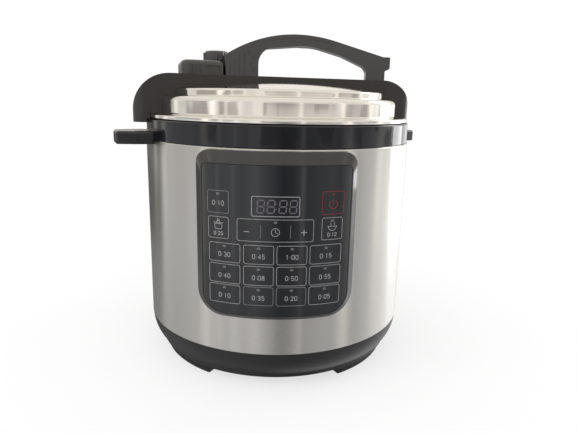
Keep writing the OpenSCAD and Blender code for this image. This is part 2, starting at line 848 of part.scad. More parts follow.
module mains_wires() {
    color([0.5, 0.3, 0.1]) for (s = [-1, 1])
        swept(smooth([[-23 + 8 * s, 29, wire_top], [-23 + 8 * s, 29, wire_z], [7 * s, shell_r - 47, wire_z],
            [7 * s, shell_r + 5, wire_z], [7 * s, shell_r + 5, pin_z - inlet_body_h]], 4), wire_r, 8);
}

module heater_wires() {
    color([0.6, 0.1, 0.1]) for (s = [-1, 1])
        swept(smooth([[1 + 7 * s, -23, wire_top], [1 + 7 * s, -23, wire_z], [heater_x * s, -heater_y, wire_z],
            [heater_x * s, -heater_y, plate_z - 6]], 3), wire_r, 8);
}

module ribbon_cable() {
    low = power_z + board_t;
    color([0.6, 0.6, 0.6]) {
        block([ribbon_x, 4 - power_d / 2, low], [ribbon_x + 16, 5 - power_d / 2, low + 4]);
        block([ribbon_x, -shell_r - 0.5, low + 4], [ribbon_x + 16, 5 - power_d / 2, low + 5]);
        block([ribbon_x, -shell_r - 0.5, low + 4], [ribbon_x + 16, 0.5 - shell_r, board_low + 3]);
        block([ribbon_x, -board_y, board_low + 1], [ribbon_x + 16, 0.5 - shell_r, board_low + 3]);
    }
}

// ---- Condensation cup ----

rail_z = cup_top - 8;
hood_z = cup_top + 1.5;
hood_top = ring_z + 8;

module cup_bracket() {
    color([0.03, 0.03, 0.03]) rotate([0, 0, cup_turn]) difference() {
        union() {
            block([drum_r - 10, -cup_w - 4, cup_z - 3], [drum_r + 3, cup_w + 4, hood_top]);
            for (s = [-1, 1]) {
                block([drum_r, s > 0 ? cup_w + 1.8 : -cup_w - 4, rail_z - 8],
                    [cup_reach - 2, s > 0 ? cup_w + 4 : -cup_w - 1.8, hood_top]);
                block([drum_r, s > 0 ? cup_w + 0.4 : -cup_w - 4, rail_z - 2],
                    [cup_reach - 2, s > 0 ? cup_w + 4 : -cup_w - 0.4, rail_z]);
            }
            block([drum_r, -cup_w - 4, hood_top - 2], [cup_reach - 2, cup_w + 4, hood_top]);
            block([cup_reach - 4, -cup_w - 4, hood_z], [cup_reach - 2, cup_w + 4, hood_top]);
        }
        bar(0, 0, drum_r + 0.05, 0, ring_z);
        bar(0, 0, ring_r, ring_z - 1, hood_top + 1);
        rotate([0, 90, 0]) translate([-drain_z, 0, 0]) cylinder(r = drain_r + 0.5, h = drum_r + 5);
    }
}

module condensation_cup() {
    color([0.25, 0.25, 0.26]) rotate([0, 0, cup_turn]) difference() {
        union() {
            block([cup_in, -cup_w, cup_z], [cup_reach, cup_w, cup_top]);
            for (s = [-1, 1]) block([cup_in, s > 0 ? cup_w - 1 : -cup_w - 1.5, rail_z + move_gap],
                [cup_reach - 1, s > 0 ? cup_w + 1.5 : 1 - cup_w, rail_z + 2]);
        }
        block([cup_in + cup_wall, cup_wall - cup_w, cup_z + cup_wall],
            [cup_reach - cup_wall, cup_w - cup_wall, cup_top + 1]);
    }
}

// ---- Inner pot ----

module inner_pot() {
    bend = 14;
    inner_bend = bend - pot_wall;
    color([0.3, 0.3, 0.31]) rotate_extrude() polygon(concat(
        [[0, pot_z]],
        arc([pot_r - bend, pot_z + bend], bend, -90, 0, 8),
        [[pot_r, shell_top - 1], [pot_r + 1, shell_top], [pot_rim_r, shell_top], [pot_rim_r, pot_top - 0.8],
         [pot_rim_r - 0.8, pot_top], [pot_r - pot_wall + 1, pot_top], [pot_r - pot_wall, pot_top - 1]],
        arc([pot_r - pot_wall - inner_bend, pot_floor + inner_bend], inner_bend, 0, -90, 8),
        [[0, pot_floor]]));
}

// ---- Lid ----

// The lid's outside from the rim inwards to the middle, moved out by a gap.
function lid_outside(gap) = concat(
    [[lid_rim_r + gap, rim_z], [lid_rim_r + gap, rim_z + rim_h - 1 + gap],
     [lid_rim_r - 1.2 + gap, rim_z + rim_h + gap],
     [lid_step_r + 1 + gap, shelf_z + gap], [lid_step_r + gap, shelf_z + 1 + gap]],
    arc([lid_step_r - step_round, step_top - step_round], step_round + gap, 0, 90, 6),
    [[crown_r + 0.6 + gap, step_top + gap], [crown_r + gap, step_top + 0.6 + gap]],
    arc([crown_r - crown_round, crown_edge - crown_round], crown_round + gap, 0, 80, 4),
    [for (i = [1:12]) let (r = crown_edge_r * (1 - i / 12)) [r, crown_dome(r) + gap]]);

function crown_dome(r) = crown_top - crown_ball + sqrt(crown_ball * crown_ball - r * r);

// The lid's inside from the skirt inwards, each wall one sheet thick.
function lid_inside() = concat(
    [[lid_skirt_in, lid_skirt_z], [lid_skirt_in, shelf_z - lid_wall],
     [lid_step_r - lid_wall, shelf_z - lid_wall]],
    arc([lid_step_r - step_round, step_top - step_round], step_round - lid_wall, 0, 90, 6),
    [[crown_r - lid_wall, step_top - lid_wall], [crown_r - lid_wall, crown_edge - lid_wall]],
    [for (i = [1:12]) let (r = crown_edge_r * (1 - i / 12)) [r, crown_dome(r) - lid_wall]]);

function reversed(list) = [for (i = [len(list) - 1:-1:0]) list[i]];

// Everything that the lid's outside encloses, grown by a gap, down to the given height.
module lid_solid(gap, low) {
    rotate_extrude() polygon(concat([[0, low], [wing_in, low], [wing_in, rim_z + gap]], lid_outside(gap)));
}

// Everything under the lid's sheet.
module lid_void(gap) {
    rotate_extrude() polygon(concat([[0, lid_skirt_z]], [for (p = lid_inside()) [p[0], p[1] - gap]]));
}

module lid_dome() {
    color([0.75, 0.75, 0.76]) lid_place() difference() {
        union() {
            rotate_extrude() polygon(concat(
                [[lid_skirt_r, lid_skirt_z], [lid_skirt_r, rim_z]], lid_outside(0), reversed(lid_inside())));
            shell_lugs(lug_pitch / 2) intersection() {
                tube(lid_skirt_in + eps, lid_lug_in, lid_skirt_z, lid_skirt_z + lid_lug_t);
                slice(-lid_turn, lug_angle / 2);
            }
        }
        for (x = [screw_left, screw_right]) bar(x, 0, lid_screw_r + fit_gap, crown_edge - 10, strip_z);
        bar(valve_x, valve_y, pipe_r + fit_gap, crown_edge - 10, strip_z);
        bar(float_x, float_y, float_r + 2 + fit_gap, crown_edge - 10, strip_z);
    }
}

// The lid is drawn as it stands when locked, and set at its open turn.
module lid_place() {
    rotate([0, 0, lid_turn]) children();
}

// The bracket seen from the front, shrunk by an inset.
function bracket_side(inset) =
    let (e = wing_reach - inset, top = strip_z - inset, r = 34 - inset)
    rounded([[-e, wing_z, 0], [-e, top, r], [e, top, r], [e, wing_z, 0]], 10);

// The bracket seen from above, shrunk by an inset.
function bracket_plan(inset) =
    let (w = wing_w - inset, s = strip_w - inset, e = wing_reach - inset, c = 12 - inset)
    rounded([[-e, -w, c], [-flare_left - 12 - inset, -w, 6], [-flare_left - inset, -s, 6],
    [flare_right + inset, -s, 6], [flare_right + 12 + inset, -w, 6], [e, -w, c],
    [e, w, c], [flare_right + 12 + inset, w, 6], [flare_right + inset, s, 6], [case_right + 2 - inset, s, 3],
    [case_right + 2 - inset, case_back + 2 - inset, c], [case_left - 2 + inset, case_back + 2 - inset, c],
    [case_left - 2 + inset, w, 3], [-e, w, c]]);

module bracket_block(inset) {
    intersection() {
        side_slab(-80, 80) polygon(bracket_side(inset));
        translate([0, 0, wing_z - inset]) linear_extrude(strip_z - wing_z + 1) polygon(bracket_plan(inset));
    }
}

module lid_bracket() {
    color([0.03, 0.03, 0.032]) lid_place() difference() {
        bracket_block(0);
        lid_solid(fit_gap, wing_z - 5);
        difference() {
            bracket_block(bracket_wall);
            for (x = [screw_left, screw_right]) bar(x, 0, 6, 0, big);
            bar(valve_x, valve_y, 12, 0, big);
            bar(float_x, float_y, 6, 0, big);
        }
        for (x = [screw_left, screw_right]) bar(x, 0, lid_screw_r + fit_gap, crown_edge - 10, strip_z + 1);
        bar(valve_x, valve_y, 9.4, crown_edge - 10, strip_z + 1);
        bar(float_x, float_y, float_r + 2 + fit_gap, crown_edge - 10, strip_z + 1);
    }
}

// The bow's outline seen from the front.
function bow_outline() = let (
    lean = 1.5,
    left_r = 135,
    right_r = 165,
    fall = 13.5,
    left_turn = asin((bow_mid - bow_left) / left_r),
    knee = [bow_mid + right_r * sin(fall), bow_top - right_r * (1 - cos(fall))],
    end_z = bow_top - 17.2)
    concat([[bow_left + lean, strip_z]],
        arc([bow_mid, bow_top - left_r], left_r, 90 + left_turn, 90, 10),
        arc([bow_mid, bow_top - right_r], right_r, 90, 90 - fall, 4),
        [[knee[0] + (knee[1] - end_z) / tan(fall), end_z], [bow_right, end_z], [bow_right, end_z - 11.5],
         [bow_right - 5.5, end_z - 14], [bow_right - 5.5, strip_z]]);

// The finger opening under the bow's bar.
function bow_gap() = rounded([[-23.5, strip_z - 20, 0], [-23.5, bow_top - bow_t - 4, 16],
    [28, bow_top - bow_t + 1.2, 60],
    [bow_right - 55, bow_top - bow_t - 7, 40], [bow_right - 27, bow_top - bow_t - 18, 8],
    [bow_right - 27, strip_z - 20, 0]], 5);

module lid_bow() {
    color([0.03, 0.03, 0.032]) lid_place() difference() {
        intersection() {
            side_slab(-bow_w, bow_w) polygon(bow_outline());
            block([-big, -big, strip_z], [big, big, big]);
        }
        for (turn = [0, bow_draft]) translate([bow_mid, -bow_w, 0]) rotate([0, 0, -turn])
            side_slab(-2 * bow_w, 5 * bow_w)
                polygon([for (p = bow_gap()) [(p[0] - bow_mid) * cos(turn), p[1]]]);
        for (x = [screw_left, screw_right]) bar(x, 0, lid_screw_r - 0.2, strip_z - 5, strip_z + 13);
    }
}

module lid_screws() {
    color("silver") lid_place() for (x = [screw_left, screw_right]) union() {
        intersection() {
            bar(x, 0, lid_head_r, crown_dome(x) - lid_wall - 3, big);
            lid_void(fit_gap);
        }
        bar(x, 0, lid_screw_r - 0.25, crown_dome(x) - lid_wall - 3, strip_z + 12);
    }
}

// ---- Steam valve ----

function case_plan(inset) = rounded([[case_left + inset, case_front + inset, 9 - inset],
    [bow_left - 1 - inset, case_front + inset, 1], [bow_left - 1 - inset, bow_w + 0.6 + inset, 1],
    [case_right - inset, bow_w + 0.6 + inset, 2], [case_right - inset, case_back - inset, 11 - inset],
    [case_left + inset, case_back - inset, 11 - inset]]);

module valve_housing() {
    crown = case_top - strip_z - case_wall_h;
    color([0.04, 0.04, 0.042]) lid_place() difference() {
        union() {
            translate([0, 0, strip_z]) linear_extrude(case_wall_h + eps) polygon(case_plan(0));
            for (k = [0:3]) translate([0, 0, strip_z + case_wall_h + crown * k / 4])
                linear_extrude(crown / 4 + (k < 3 ? eps : 0)) polygon(case_plan(0.3 + 0.5 * k * k / 2));
        }
        translate([0, 0, strip_z - 1]) linear_extrude(valve_case_h - valve_case_wall + 1)
            polygon(case_plan(valve_case_wall + 0.4));
        block([-74, case_front - 1, strip_z + 0.8], [-61, case_front + 1.2, strip_z + 8.2]);
        bar(valve_x, valve_y, hub_r + 0.6, strip_z, case_top + 1);
        bar(float_x, float_y, float_r + 0.5, strip_z, case_top + 1);
    }
}

module steam_pipe() {
    color("silver") lid_place() difference() {
        union() {
            bar(valve_x, valve_y, pipe_r, crown_edge - 8, pipe_top);
            difference() {
                bar(valve_x, valve_y, 9, crown_edge, strip_z - 1);
                lid_solid(0.05, wing_z);
            }
        }
        bar(valve_x, valve_y, 1.6, crown_edge - 10, pipe_top + 1);
    }
}

module pipe_nut() {
    color("silver") lid_place() difference() {
        intersection() {
            bar(valve_x, valve_y, nut_r, crown_edge - 4, strip_z);
            lid_void(0.05);
        }
        bar(valve_x, valve_y, pipe_r + fit_gap / 2, crown_edge - 9, strip_z);
    }
}

module filter_cap() {
    low = crown_edge - 16;
    color("silver") lid_place() difference() {
        bar(valve_x, valve_y, nut_r + 1.2, low, crown_edge - 2);
        bar(valve_x, valve_y, nut_r + fit_gap, low + 1, crown_edge);
        for (i = [0:7])
            translate([valve_x, valve_y, low + 6]) rotate([0, 90, 45 * i]) cylinder(r = 1.4, h = 20);
    }
}

module steam_knob() {
    color([0.03, 0.03, 0.03]) lid_place() difference() {
        union() {
            bar(valve_x, valve_y, knob_r, knob_z, knob_top - 1);
            bar(valve_x, valve_y, knob_r - 1, knob_z, knob_top);
            bar(valve_x, valve_y, hub_r, strip_z + 2, knob_z + eps);
            block([valve_x - knob_r - 1.6, valve_y - 3, knob_z + 1], [valve_x, valve_y + 3, knob_top - 2]);
        }
        bar(valve_x, valve_y, weight_r + fit_gap / 2, strip_z + 1, knob_z + 3);
    }
}

module valve_weight() {
    color("silver") lid_place() difference() {
        bar(valve_x, valve_y, weight_r, strip_z + 2, knob_z + 3);
        bar(valve_x, valve_y, pipe_r + run_gap, strip_z + 1, pipe_top + 0.5);
    }
}

float_low = crown_dome(norm([float_x, float_y])) - lid_wall - float_travel;

module float_pin() {
    color("silver") lid_place() union() {
        bar(float_x, float_y, float_r, float_low - 4, case_top - 2.5);
        bar(float_x, float_y, float_r + 2, float_low - 5, float_low - 2);
    }
}

module float_seal() {
    color([0.6, 0.6, 0.6]) lid_place() difference() {
        bar(float_x, float_y, float_r + 2.6, float_low - 2, float_low - 0.8);
        bar(float_x, float_y, float_r + 0.02, float_low - 3, float_low + 2);
    }
}

module float_bush() {
    face = crown_dome(norm([float_x, float_y]));
    color("silver") lid_place() difference() {
        union() {
            bar(float_x, float_y, float_r + 2, face - lid_wall, strip_z + 3);
            bar(float_x, float_y, float_r + 4, strip_z, strip_z + 1.5);
        }
        bar(float_x, float_y, float_r + run_gap, face - 10, strip_z + 5);
    }
}

// ---- Sealing ring and rack ----

module sealing_ring() {
    color([0.85, 0.85, 0.82]) rotate_extrude() polygon([[seal_in, seal_z], [seal_out, seal_z],
        [seal_out, seal_z + seal_h - 1], [seal_out - 1, seal_z + seal_h], [seal_out - 3, seal_z + seal_h],
        [seal_out - 3, seal_z + 3], [seal_in + 2, seal_z + 3], [seal_in + 2, seal_z + seal_h - 4],
        [seal_in, seal_z + seal_h - 4]]);
}

module sealing_rack() {
    low = seal_z + 2;
    leg = crown_r - lid_wall + 0.8;
    color("silver") union() {
        tube(seal_in - fit_gap, seal_in - rack_w, low, low + 3);
        for (i = [0:3]) intersection() {
            tube(leg + rack_leg_w, leg, low + 2, step_top - lid_wall - move_gap);
            slice(90 * i + 45, 3);
        }
    }
}

base_skirt();
bottom_cover();
bottom_screws();
feet();
steel_drum();
upper_ring();
ring_screws();
side_handle_left();
side_handle_right();
handle_screws();
panel_frame();
panel_face();
display_block();
control_board();
touch_springs();
board_screws();
pressure_shell();
heating_plate();
heating_element();
plate_posts();
sensor_cap();
sensor_spring();
sensor_guide();
thermal_fuse();
pressure_switch();
power_board();
board_parts();
power_inlet();
inlet_pins();
mains_wires();
heater_wires();
ribbon_cable();
cup_bracket();
condensation_cup();
inner_pot();
sealing_ring();
sealing_rack();
lid_dome();
lid_bracket();
lid_bow();
lid_screws();
valve_housing();
steam_pipe();
pipe_nut();
filter_cap();
steam_knob();
valve_weight();
float_pin();
float_seal();
float_bush();
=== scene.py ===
import math

import bmesh
import bpy
from mathutils import Matrix, Vector


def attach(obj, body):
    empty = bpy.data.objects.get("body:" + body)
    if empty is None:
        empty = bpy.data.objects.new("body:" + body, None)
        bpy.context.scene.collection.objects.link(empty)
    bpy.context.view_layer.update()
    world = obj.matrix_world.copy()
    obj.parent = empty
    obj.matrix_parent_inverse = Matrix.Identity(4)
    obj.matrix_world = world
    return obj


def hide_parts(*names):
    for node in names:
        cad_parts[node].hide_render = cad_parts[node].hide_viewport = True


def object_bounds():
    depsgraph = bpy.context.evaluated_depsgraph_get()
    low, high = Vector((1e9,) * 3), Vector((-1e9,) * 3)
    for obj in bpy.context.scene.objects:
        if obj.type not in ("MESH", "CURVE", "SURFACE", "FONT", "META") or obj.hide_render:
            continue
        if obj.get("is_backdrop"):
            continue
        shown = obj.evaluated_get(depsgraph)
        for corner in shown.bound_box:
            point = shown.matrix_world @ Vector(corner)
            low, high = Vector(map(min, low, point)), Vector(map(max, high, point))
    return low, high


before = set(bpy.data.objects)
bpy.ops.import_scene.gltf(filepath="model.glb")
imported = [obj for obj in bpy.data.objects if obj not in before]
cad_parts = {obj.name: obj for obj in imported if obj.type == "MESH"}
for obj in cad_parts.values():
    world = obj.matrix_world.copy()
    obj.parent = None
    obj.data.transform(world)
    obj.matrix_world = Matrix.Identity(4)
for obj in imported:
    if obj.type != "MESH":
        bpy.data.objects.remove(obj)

cad_low, cad_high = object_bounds()

# Lengths are in millimetres until a mesh is made, and angles are in degrees.
MM = 0.001

# A turned shape that is closed at its axis starts this far from it.
AXIS = 0.001

# A corner whose half angle is larger than this counts as straight, and the rounding of a corner
# takes at most this share of either side.
STRAIGHT = 89.5
CORNER_SHARE = 0.8


# ---- Plane outlines ----

def polar(r, angle, centre=(0, 0)):
    """The point at a distance and an angle from a centre."""
    a = math.radians(angle)
    return (centre[0] + r * math.cos(a), centre[1] + r * math.sin(a))


def arc(centre, r, start, end, steps):
    """Points along an arc about a centre."""
    return [polar(r, start + (end - start) * k / steps, centre) for k in range(steps + 1)]


def rounded(corners, steps=6):
    """The closed outline through corners given as (x, y, radius)."""
    out = []
    for i, (x, y, r) in enumerate(corners):
        at = Vector((x, y))
        back = Vector(corners[i - 1][:2]) - at
        ahead = Vector(corners[(i + 1) % len(corners)][:2]) - at
        half = back.angle(ahead) / 2
        if r <= 0 or half > math.radians(STRAIGHT):
            out.append((x, y))
            continue
        cut = min(r / math.tan(half), CORNER_SHARE * min(back.length, ahead.length))
        r = cut * math.tan(half)
        back.normalize()
        ahead.normalize()
        centre = at + (back + ahead).normalized() * (r / math.sin(half))
        first = at + back * cut - centre
        last = at + ahead * cut - centre
        start = math.degrees(math.atan2(first.y, first.x))
        turn = (math.degrees(math.atan2(last.y, last.x)) - start + 180) % 360 - 180
        out += arc(centre, r, start, start + turn, steps)
    return out


def box(left, low, right, high):
    """The four corners of a box."""
    return [(left, low), (right, low), (right, high), (left, high)]


def soft_box(left, low, right, high, radius, steps=3):
    """A box with rounded corners: one radius, or four from the lower left round to the upper left."""
    radii = radius if isinstance(radius, list) else [radius] * 4
    return rounded([(x, y, r) for (x, y), r in zip(box(left, low, right, high), radii)], steps)


def spaced(outline, count):
    """The same outline with evenly spaced points along it."""
    lengths = [0.0]
    closed = list(outline) + [outline[0]]
    for a, b in zip(closed, closed[1:]):
        lengths.append(lengths[-1] + math.dist(a, b))
    out, k = [], 0
    for i in range(count):
        want = lengths[-1] * i / count
        while lengths[k + 1] < want:
            k += 1
        share = (want - lengths[k]) / max(lengths[k + 1] - lengths[k], 1e-9)
        out.append(tuple(p + (q - p) * share for p, q in zip(closed[k], closed[k + 1])))
    return out


# ---- Shapes ----

class Shape:
    """Points in millimetres and the faces between them."""

    def __init__(self):
        self.points = []
        self.faces = []

    def loft(self, rings, ends=True, around=True):
        """Skins rings that have as many points each."""
        first, n = len(self.points), len(rings[0])
        for ring in rings:
            self.points.extend(Vector(p) for p in ring)
        for r in range(len(rings) - 1):
            a = first + r * n
            for i in range(n if around else n - 1):
                j = (i + 1) % n
                self.faces.append((a + i, a + j, a + n + j, a + n + i))
        if ends:
            self.faces.append(tuple(range(first + n - 1, first - 1, -1)))
            last = first + (len(rings) - 1) * n
            self.faces.append(tuple(range(last, last + n)))
        return self

    def turned(self, profile, centre=(0, 0), steps=192, start=0, sweep=360):
        """Turns a closed profile of (radius, height) about an upright axis."""
        rings = []
        whole = abs(sweep) >= 360
        for k in range(steps + (0 if whole else 1)):
            rings.append([(*polar(r, start + sweep * k / steps, centre), z) for r, z in profile])
        if whole:
            rings.append(rings[0])
        return self.loft(rings, ends=not whole)

    def rod(self, r, low, high, centre=(0, 0), steps=192):
        """An upright cylinder."""
        return self.turned([(AXIS, low), (r, low), (r, high), (AXIS, high)], centre, steps)

    def slab(self, outline, low, high, place=None):
        """Raises an outline from low to high; place turns (x, y, z) of the slab into the part's own."""
        place = place or (lambda x, y, z: (x, y, z))
        return self.loft([[place(x, y, z) for x, y in outline] for z in (low, high)])


def front_view(x, y, z):
    """Places a slab that is drawn upright, as seen from the front; its thickness runs along Y."""
    return (x, z, y)


def turned_about_z(angle):
    """Places a slab that is turned about the part's axis."""
    cos, sin = polar(1, angle)
    return lambda x, y, z: (x * cos - y * sin, x * sin + y * cos, z)


WELD = 1e-6         # points closer than this, in metres, become one


def as_object(name, shape):
    """Makes a mesh object in metres from a shape."""
    mesh = bpy.data.meshes.new(name)
    mesh.from_pydata([p * MM for p in shape.points], [], shape.faces)
    bm = bmesh.new()
    bm.from_mesh(mesh)
    bmesh.ops.remove_doubles(bm, verts=bm.verts, dist=WELD)
    bmesh.ops.recalc_face_normals(bm, faces=bm.faces)
    bm.to_mesh(mesh)
    bm.free()
    obj = bpy.data.objects.new(name, mesh)
    bpy.context.scene.collection.objects.link(obj)
    return obj


def spin(obj, angle):
    """Turns a mesh about the part's axis."""
    obj.data.transform(Matrix.Rotation(math.radians(angle), 4, "Z"))


def settle(obj):
    """Applies the modifiers of an object to its mesh."""
    bpy.context.view_layer.update()
    shaped = obj.evaluated_get(bpy.context.evaluated_depsgraph_get())
    done = bpy.data.meshes.new_from_object(shaped)
    obj.modifiers.clear()
    old = obj.data
    obj.data = done
    bpy.data.meshes.remove(old)


def carve(obj, shape, operation="DIFFERENCE"):
    """Cuts a shape out of an object, or keeps or joins it."""
    tool = as_object("tool", shape)
    mod = obj.modifiers.new("carve", "BOOLEAN")
    mod.operation = operation
    mod.solver = "EXACT"
    mod.object = tool
    settle(obj)
    bpy.data.objects.remove(tool)


def soften(obj, width, segments=3, angle=40, where=None):
    """Rounds the edges that are sharper than an angle, or only those that where(middle) picks."""
    mod = obj.modifiers.new("soften", "BEVEL")
    mod.width = width * MM
    mod.segments = segments
    mod.harden_normals = False
    if where is None:
        mod.limit_method = "ANGLE"
        mod.angle_limit = math.radians(angle)
    else:
        mod.limit_method = "WEIGHT"
        bm = bmesh.new()
        bm.from_mesh(obj.data)
        layers = bm.edges.layers.float
        layer = layers.get("bevel_weight_edge") or layers.new("bevel_weight_edge")
        for edge in bm.edges:
            bend = edge.calc_face_angle(0)
            middle = (edge.verts[0].co + edge.verts[1].co) / 2 / MM
            edge[layer] = 1.0 if bend > math.radians(angle) and where(middle) else 0.0
        bm.to_mesh(obj.data)
        bm.free()
    settle(obj)


def dress(obj, finish, body, replaces=(), sharp=32):
    """Gives a mesh its finish, its shading and its body."""
    obj.data.materials.clear()
    obj.data.materials.append(finish)
    for polygon in obj.data.polygons:
        polygon.material_index = 0
    obj.data.shade_smooth()
    obj.data.set_sharp_from_angle(angle=math.radians(sharp))
    weigh = obj.modifiers.new("normals", "WEIGHTED_NORMAL")
    weigh.keep_sharp = True
    settle(obj)
    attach(obj, body)
    if replaces:
        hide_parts(*replaces)
    return obj


def piece(name, shape, finish, body, replaces=(), soft=0, sharp=32, angle=40):
    """A finished piece straight from a shape."""
    obj = as_object(name, shape)
    if soft:
        soften(obj, soft, angle=angle)
    return dress(obj, finish, body, replaces, sharp)


# ---- Sums and nodes ----

class Value:
    """What a node gives, which takes part in sums."""

    def __init__(self, surface, socket):
        self.surface = surface
        self.socket = socket

    def _sum(self, operation, *terms):
        return self.surface.node("Math", {"operation": operation}, dict(enumerate(terms)))

    def __add__(self, other):
        return self._sum("ADD", self, other)

    def __sub__(self, other):
        return self._sum("SUBTRACT", self, other)

    def __rsub__(self, other):
        return self._sum("SUBTRACT", other, self)

    def __mul__(self, other):
        return self._sum("MULTIPLY", self, other)

    __radd__ = __add__
    __rmul__ = __mul__

    def of(self, operation, *others):
        """Another sum of this number, such as its root."""
        return self._sum(operation, self, *others)

    def between(self, low, high):
        """0 at low, 1 at high and smooth on the way."""
        return self.surface.node("MapRange", {"interpolation_type": "SMOOTHSTEP"},
                                 {"Value": self, "From Min": low, "From Max": high}, out="Result")

    def near(self, low, high):
        """1 where the number is within low of nought, and 0 beyond high."""
        return 1 - self.of("ABSOLUTE").between(low, high)


def rgb(r, g=None, b=None):
    """A colour with its alpha; one number gives a grey."""
    return (r, r, r, 1) if g is None else (r, g, b, 1)


WHITE = rgb(1)


class Surface:
    """A node tree that is written as sums and nodes."""

    def __init__(self, tree):
        self.tree = tree
        tree.nodes.clear()

    def node(self, kind, settings=None, sockets=None, out=0):
        """Adds a node, its settings first and then its sockets; out is one output or a tuple of them."""
        node = self.tree.nodes.new("ShaderNode" + kind)
        for key, given in (settings or {}).items():
            if key == "stops":
                ramp = node.color_ramp
                while len(ramp.elements) < len(given):
                    ramp.elements.new(0.5)
                for stop, (at, colour) in zip(ramp.elements, given):
                    stop.position = at
                    stop.color = colour
            else:
                setattr(node, key, given)
        for key, given in (sockets or {}).items():
            if isinstance(given, Value):
                self.tree.links.new(given.socket, node.inputs[key])
            else:
                node.inputs[key].default_value = given
        if isinstance(out, tuple):
            return [Value(self, node.outputs[each]) for each in out]
        return Value(self, node.outputs[out])

    def mix(self, share, a, b):
        """A colour between a and b."""
        return self.node("Mix", {"data_type": "RGBA"}, {0: share, 6: a, 7: b}, out=2)

    def vector(self, x, y, z):
        """A vector from three numbers."""
        return self.node("CombineXYZ", None, {0: x, 1: y, 2: z})

    def split(self, vector):
        """The x, y and z of a vector."""
        return self.node("SeparateXYZ", None, {0: vector}, out=(0, 1, 2))


class Finish(Surface):
    """A material with one principled shader."""

    def __init__(self, name):
        self.material = bpy.data.materials.new(name)
        self.material.use_nodes = True
        super().__init__(self.material.node_tree)
        self.point = self.node("TexCoord", out="Object")

    def around(self):
        """The turn about the axis, with its join at the back, the height and the radius, in metres."""
        x, y, z = self.split(self.point)
        return x.of("ARCTAN2", y * -1), z, (x * x + y * y).of("SQRT")

    def noise(self, scale, detail=3.0, rough=0.55, at=None):
        """Soft noise from 0 to 1, over the part or at another vector."""
        sockets = {"Vector": at or self.point, "Scale": scale, "Detail": detail, "Roughness": rough}
        return self.node("TexNoise", None, sockets)

    def specks(self, scale, size):
        """1 inside scattered round specks and 0 between them."""
        cell = self.node("TexVoronoi", None, {"Vector": self.point, "Scale": scale}, out="Distance")
        return 1 - cell.between(size * 0.6, size)

    def shader(self, colour, roughness, constants=None, relief=None, depth=0.02):
        """The principled shader; constants go straight onto it, and relief is depth millimetres high."""
        sockets = {"Base Color": colour, "Roughness": roughness, **(constants or {})}
        if relief is not None:
            sockets["Normal"] = self.node("Bump", None, {"Height": relief, "Distance": depth * MM})
        return self.node("BsdfPrincipled", None, sockets)

    def end(self, shader):
        """Ends the material in a shader."""
        self.node("OutputMaterial", None, {0: shader}, out=())
        return self.material


# ---- The finishes of this cooker ----

SHINE = "Specular IOR Level"
DUST = rgb(0.13, 0.125, 0.115)
METAL = {"Metallic": 1.0}


def gloss_black(name, shade, rough=0.1, shine=0.5):
    """Polished black plastic with dust, wiping marks and fine scratches."""
    f = Finish(name)
    turn, z, r = f.around()
    smear = f.noise(14, 4).between(0.45, 0.75)
    dust = f.specks(900, 0.16) * f.noise(60, 2).between(0.45, 0.7)
    scratch = f.noise(6, 2, at=f.vector(turn * 40, r * 3000, z * 90)).between(0.62, 0.7)
    return f.end(f.shader(
        f.mix(dust * 0.35, shade, DUST), smear * 0.07 + rough + dust * 0.3 + scratch * 0.05,
        {SHINE: shine}, dust * 0.6 + scratch * 0.25))


def satin_plastic(name, shade, rough=0.4, grain=2600, shine=0.45):
    """Moulded plastic with a fine spark-eroded grain and rubbed places."""
    f = Finish(name)
    turn, z, r = f.around()
    grit = f.noise(grain, 2, 0.7)
    rub = f.noise(18, 5).between(0.5, 0.8)
    scratch = f.noise(5, 3, at=f.vector(turn * 9, r * 700, z * 320)).between(0.66, 0.72)
    return f.end(f.shader(
        f.mix(rub * 0.3 + scratch * 0.35, shade, rgb(0.03)),
        grit * 0.12 + rough - rub * 0.06 - scratch * 0.1, {SHINE: shine}, grit + scratch * -0.8))


def brushed_steel(name):
    """Drum sheet brushed round the body, with handling marks and a soft warm cast."""
    f = Finish(name)
    turn, z, _ = f.around()
    hair = f.noise(1, 3, 0.7, at=f.vector(turn * 3.2, z * 5200, 0.0))
    band = f.noise(1, 4, at=f.vector(turn * 1.3, z * 260, 3.0))
    cloud = f.noise(9, 4).between(0.35, 0.75)
    marks = f.noise(1, 3, at=f.vector(turn * 60, z * 30, 7.0)).between(0.66, 0.74)
    tone = f.mix(hair.between(0.2, 0.8), rgb(0.55, 0.54, 0.52), rgb(0.62, 0.61, 0.585))
    tone = f.mix(band.between(0.3, 0.8) * 0.25, tone, rgb(0.60, 0.585, 0.555))
    return f.end(f.shader(
        f.mix(cloud * 0.25, tone, rgb(0.55, 0.54, 0.515)),
        hair * 0.05 + 0.2 + cloud * 0.03 + marks * 0.03,
        {**METAL, "Anisotropic": 1.0, "Anisotropic Rotation": 0.25}, hair * 0.7 + band * 0.3, 0.005))


def warm_grey(grey):
    """A grey with a little less green and blue."""
    warm = 0.93
    return rgb(grey, grey * (1 + warm) / 2, grey * warm)


def polished_steel(name, shade=0.84, rough=0.06):
    """Bright lid steel with spinning lines, water spots and wiping marks."""
    f = Finish(name)
    turn, z, r = f.around()
    lines = f.noise(1, 3, 0.7, at=f.vector(turn * 1.1, r * 4200, z * 4200))
    smear = f.noise(16, 5).between(0.42, 0.78)
    spots = f.specks(110, 0.2) * f.noise(22, 2).between(0.5, 0.65)
    tone = f.mix(lines.between(0.25, 0.75), warm_grey(shade - 0.06), warm_grey(shade))
    return f.end(f.shader(
        f.mix(spots * 0.3 + smear * 0.12, tone, rgb(0.72, 0.71, 0.69)),
        lines * 0.05 + rough + smear * 0.05 + spots * 0.1, METAL, lines * 0.5 + spots * 0.3, 0.008))


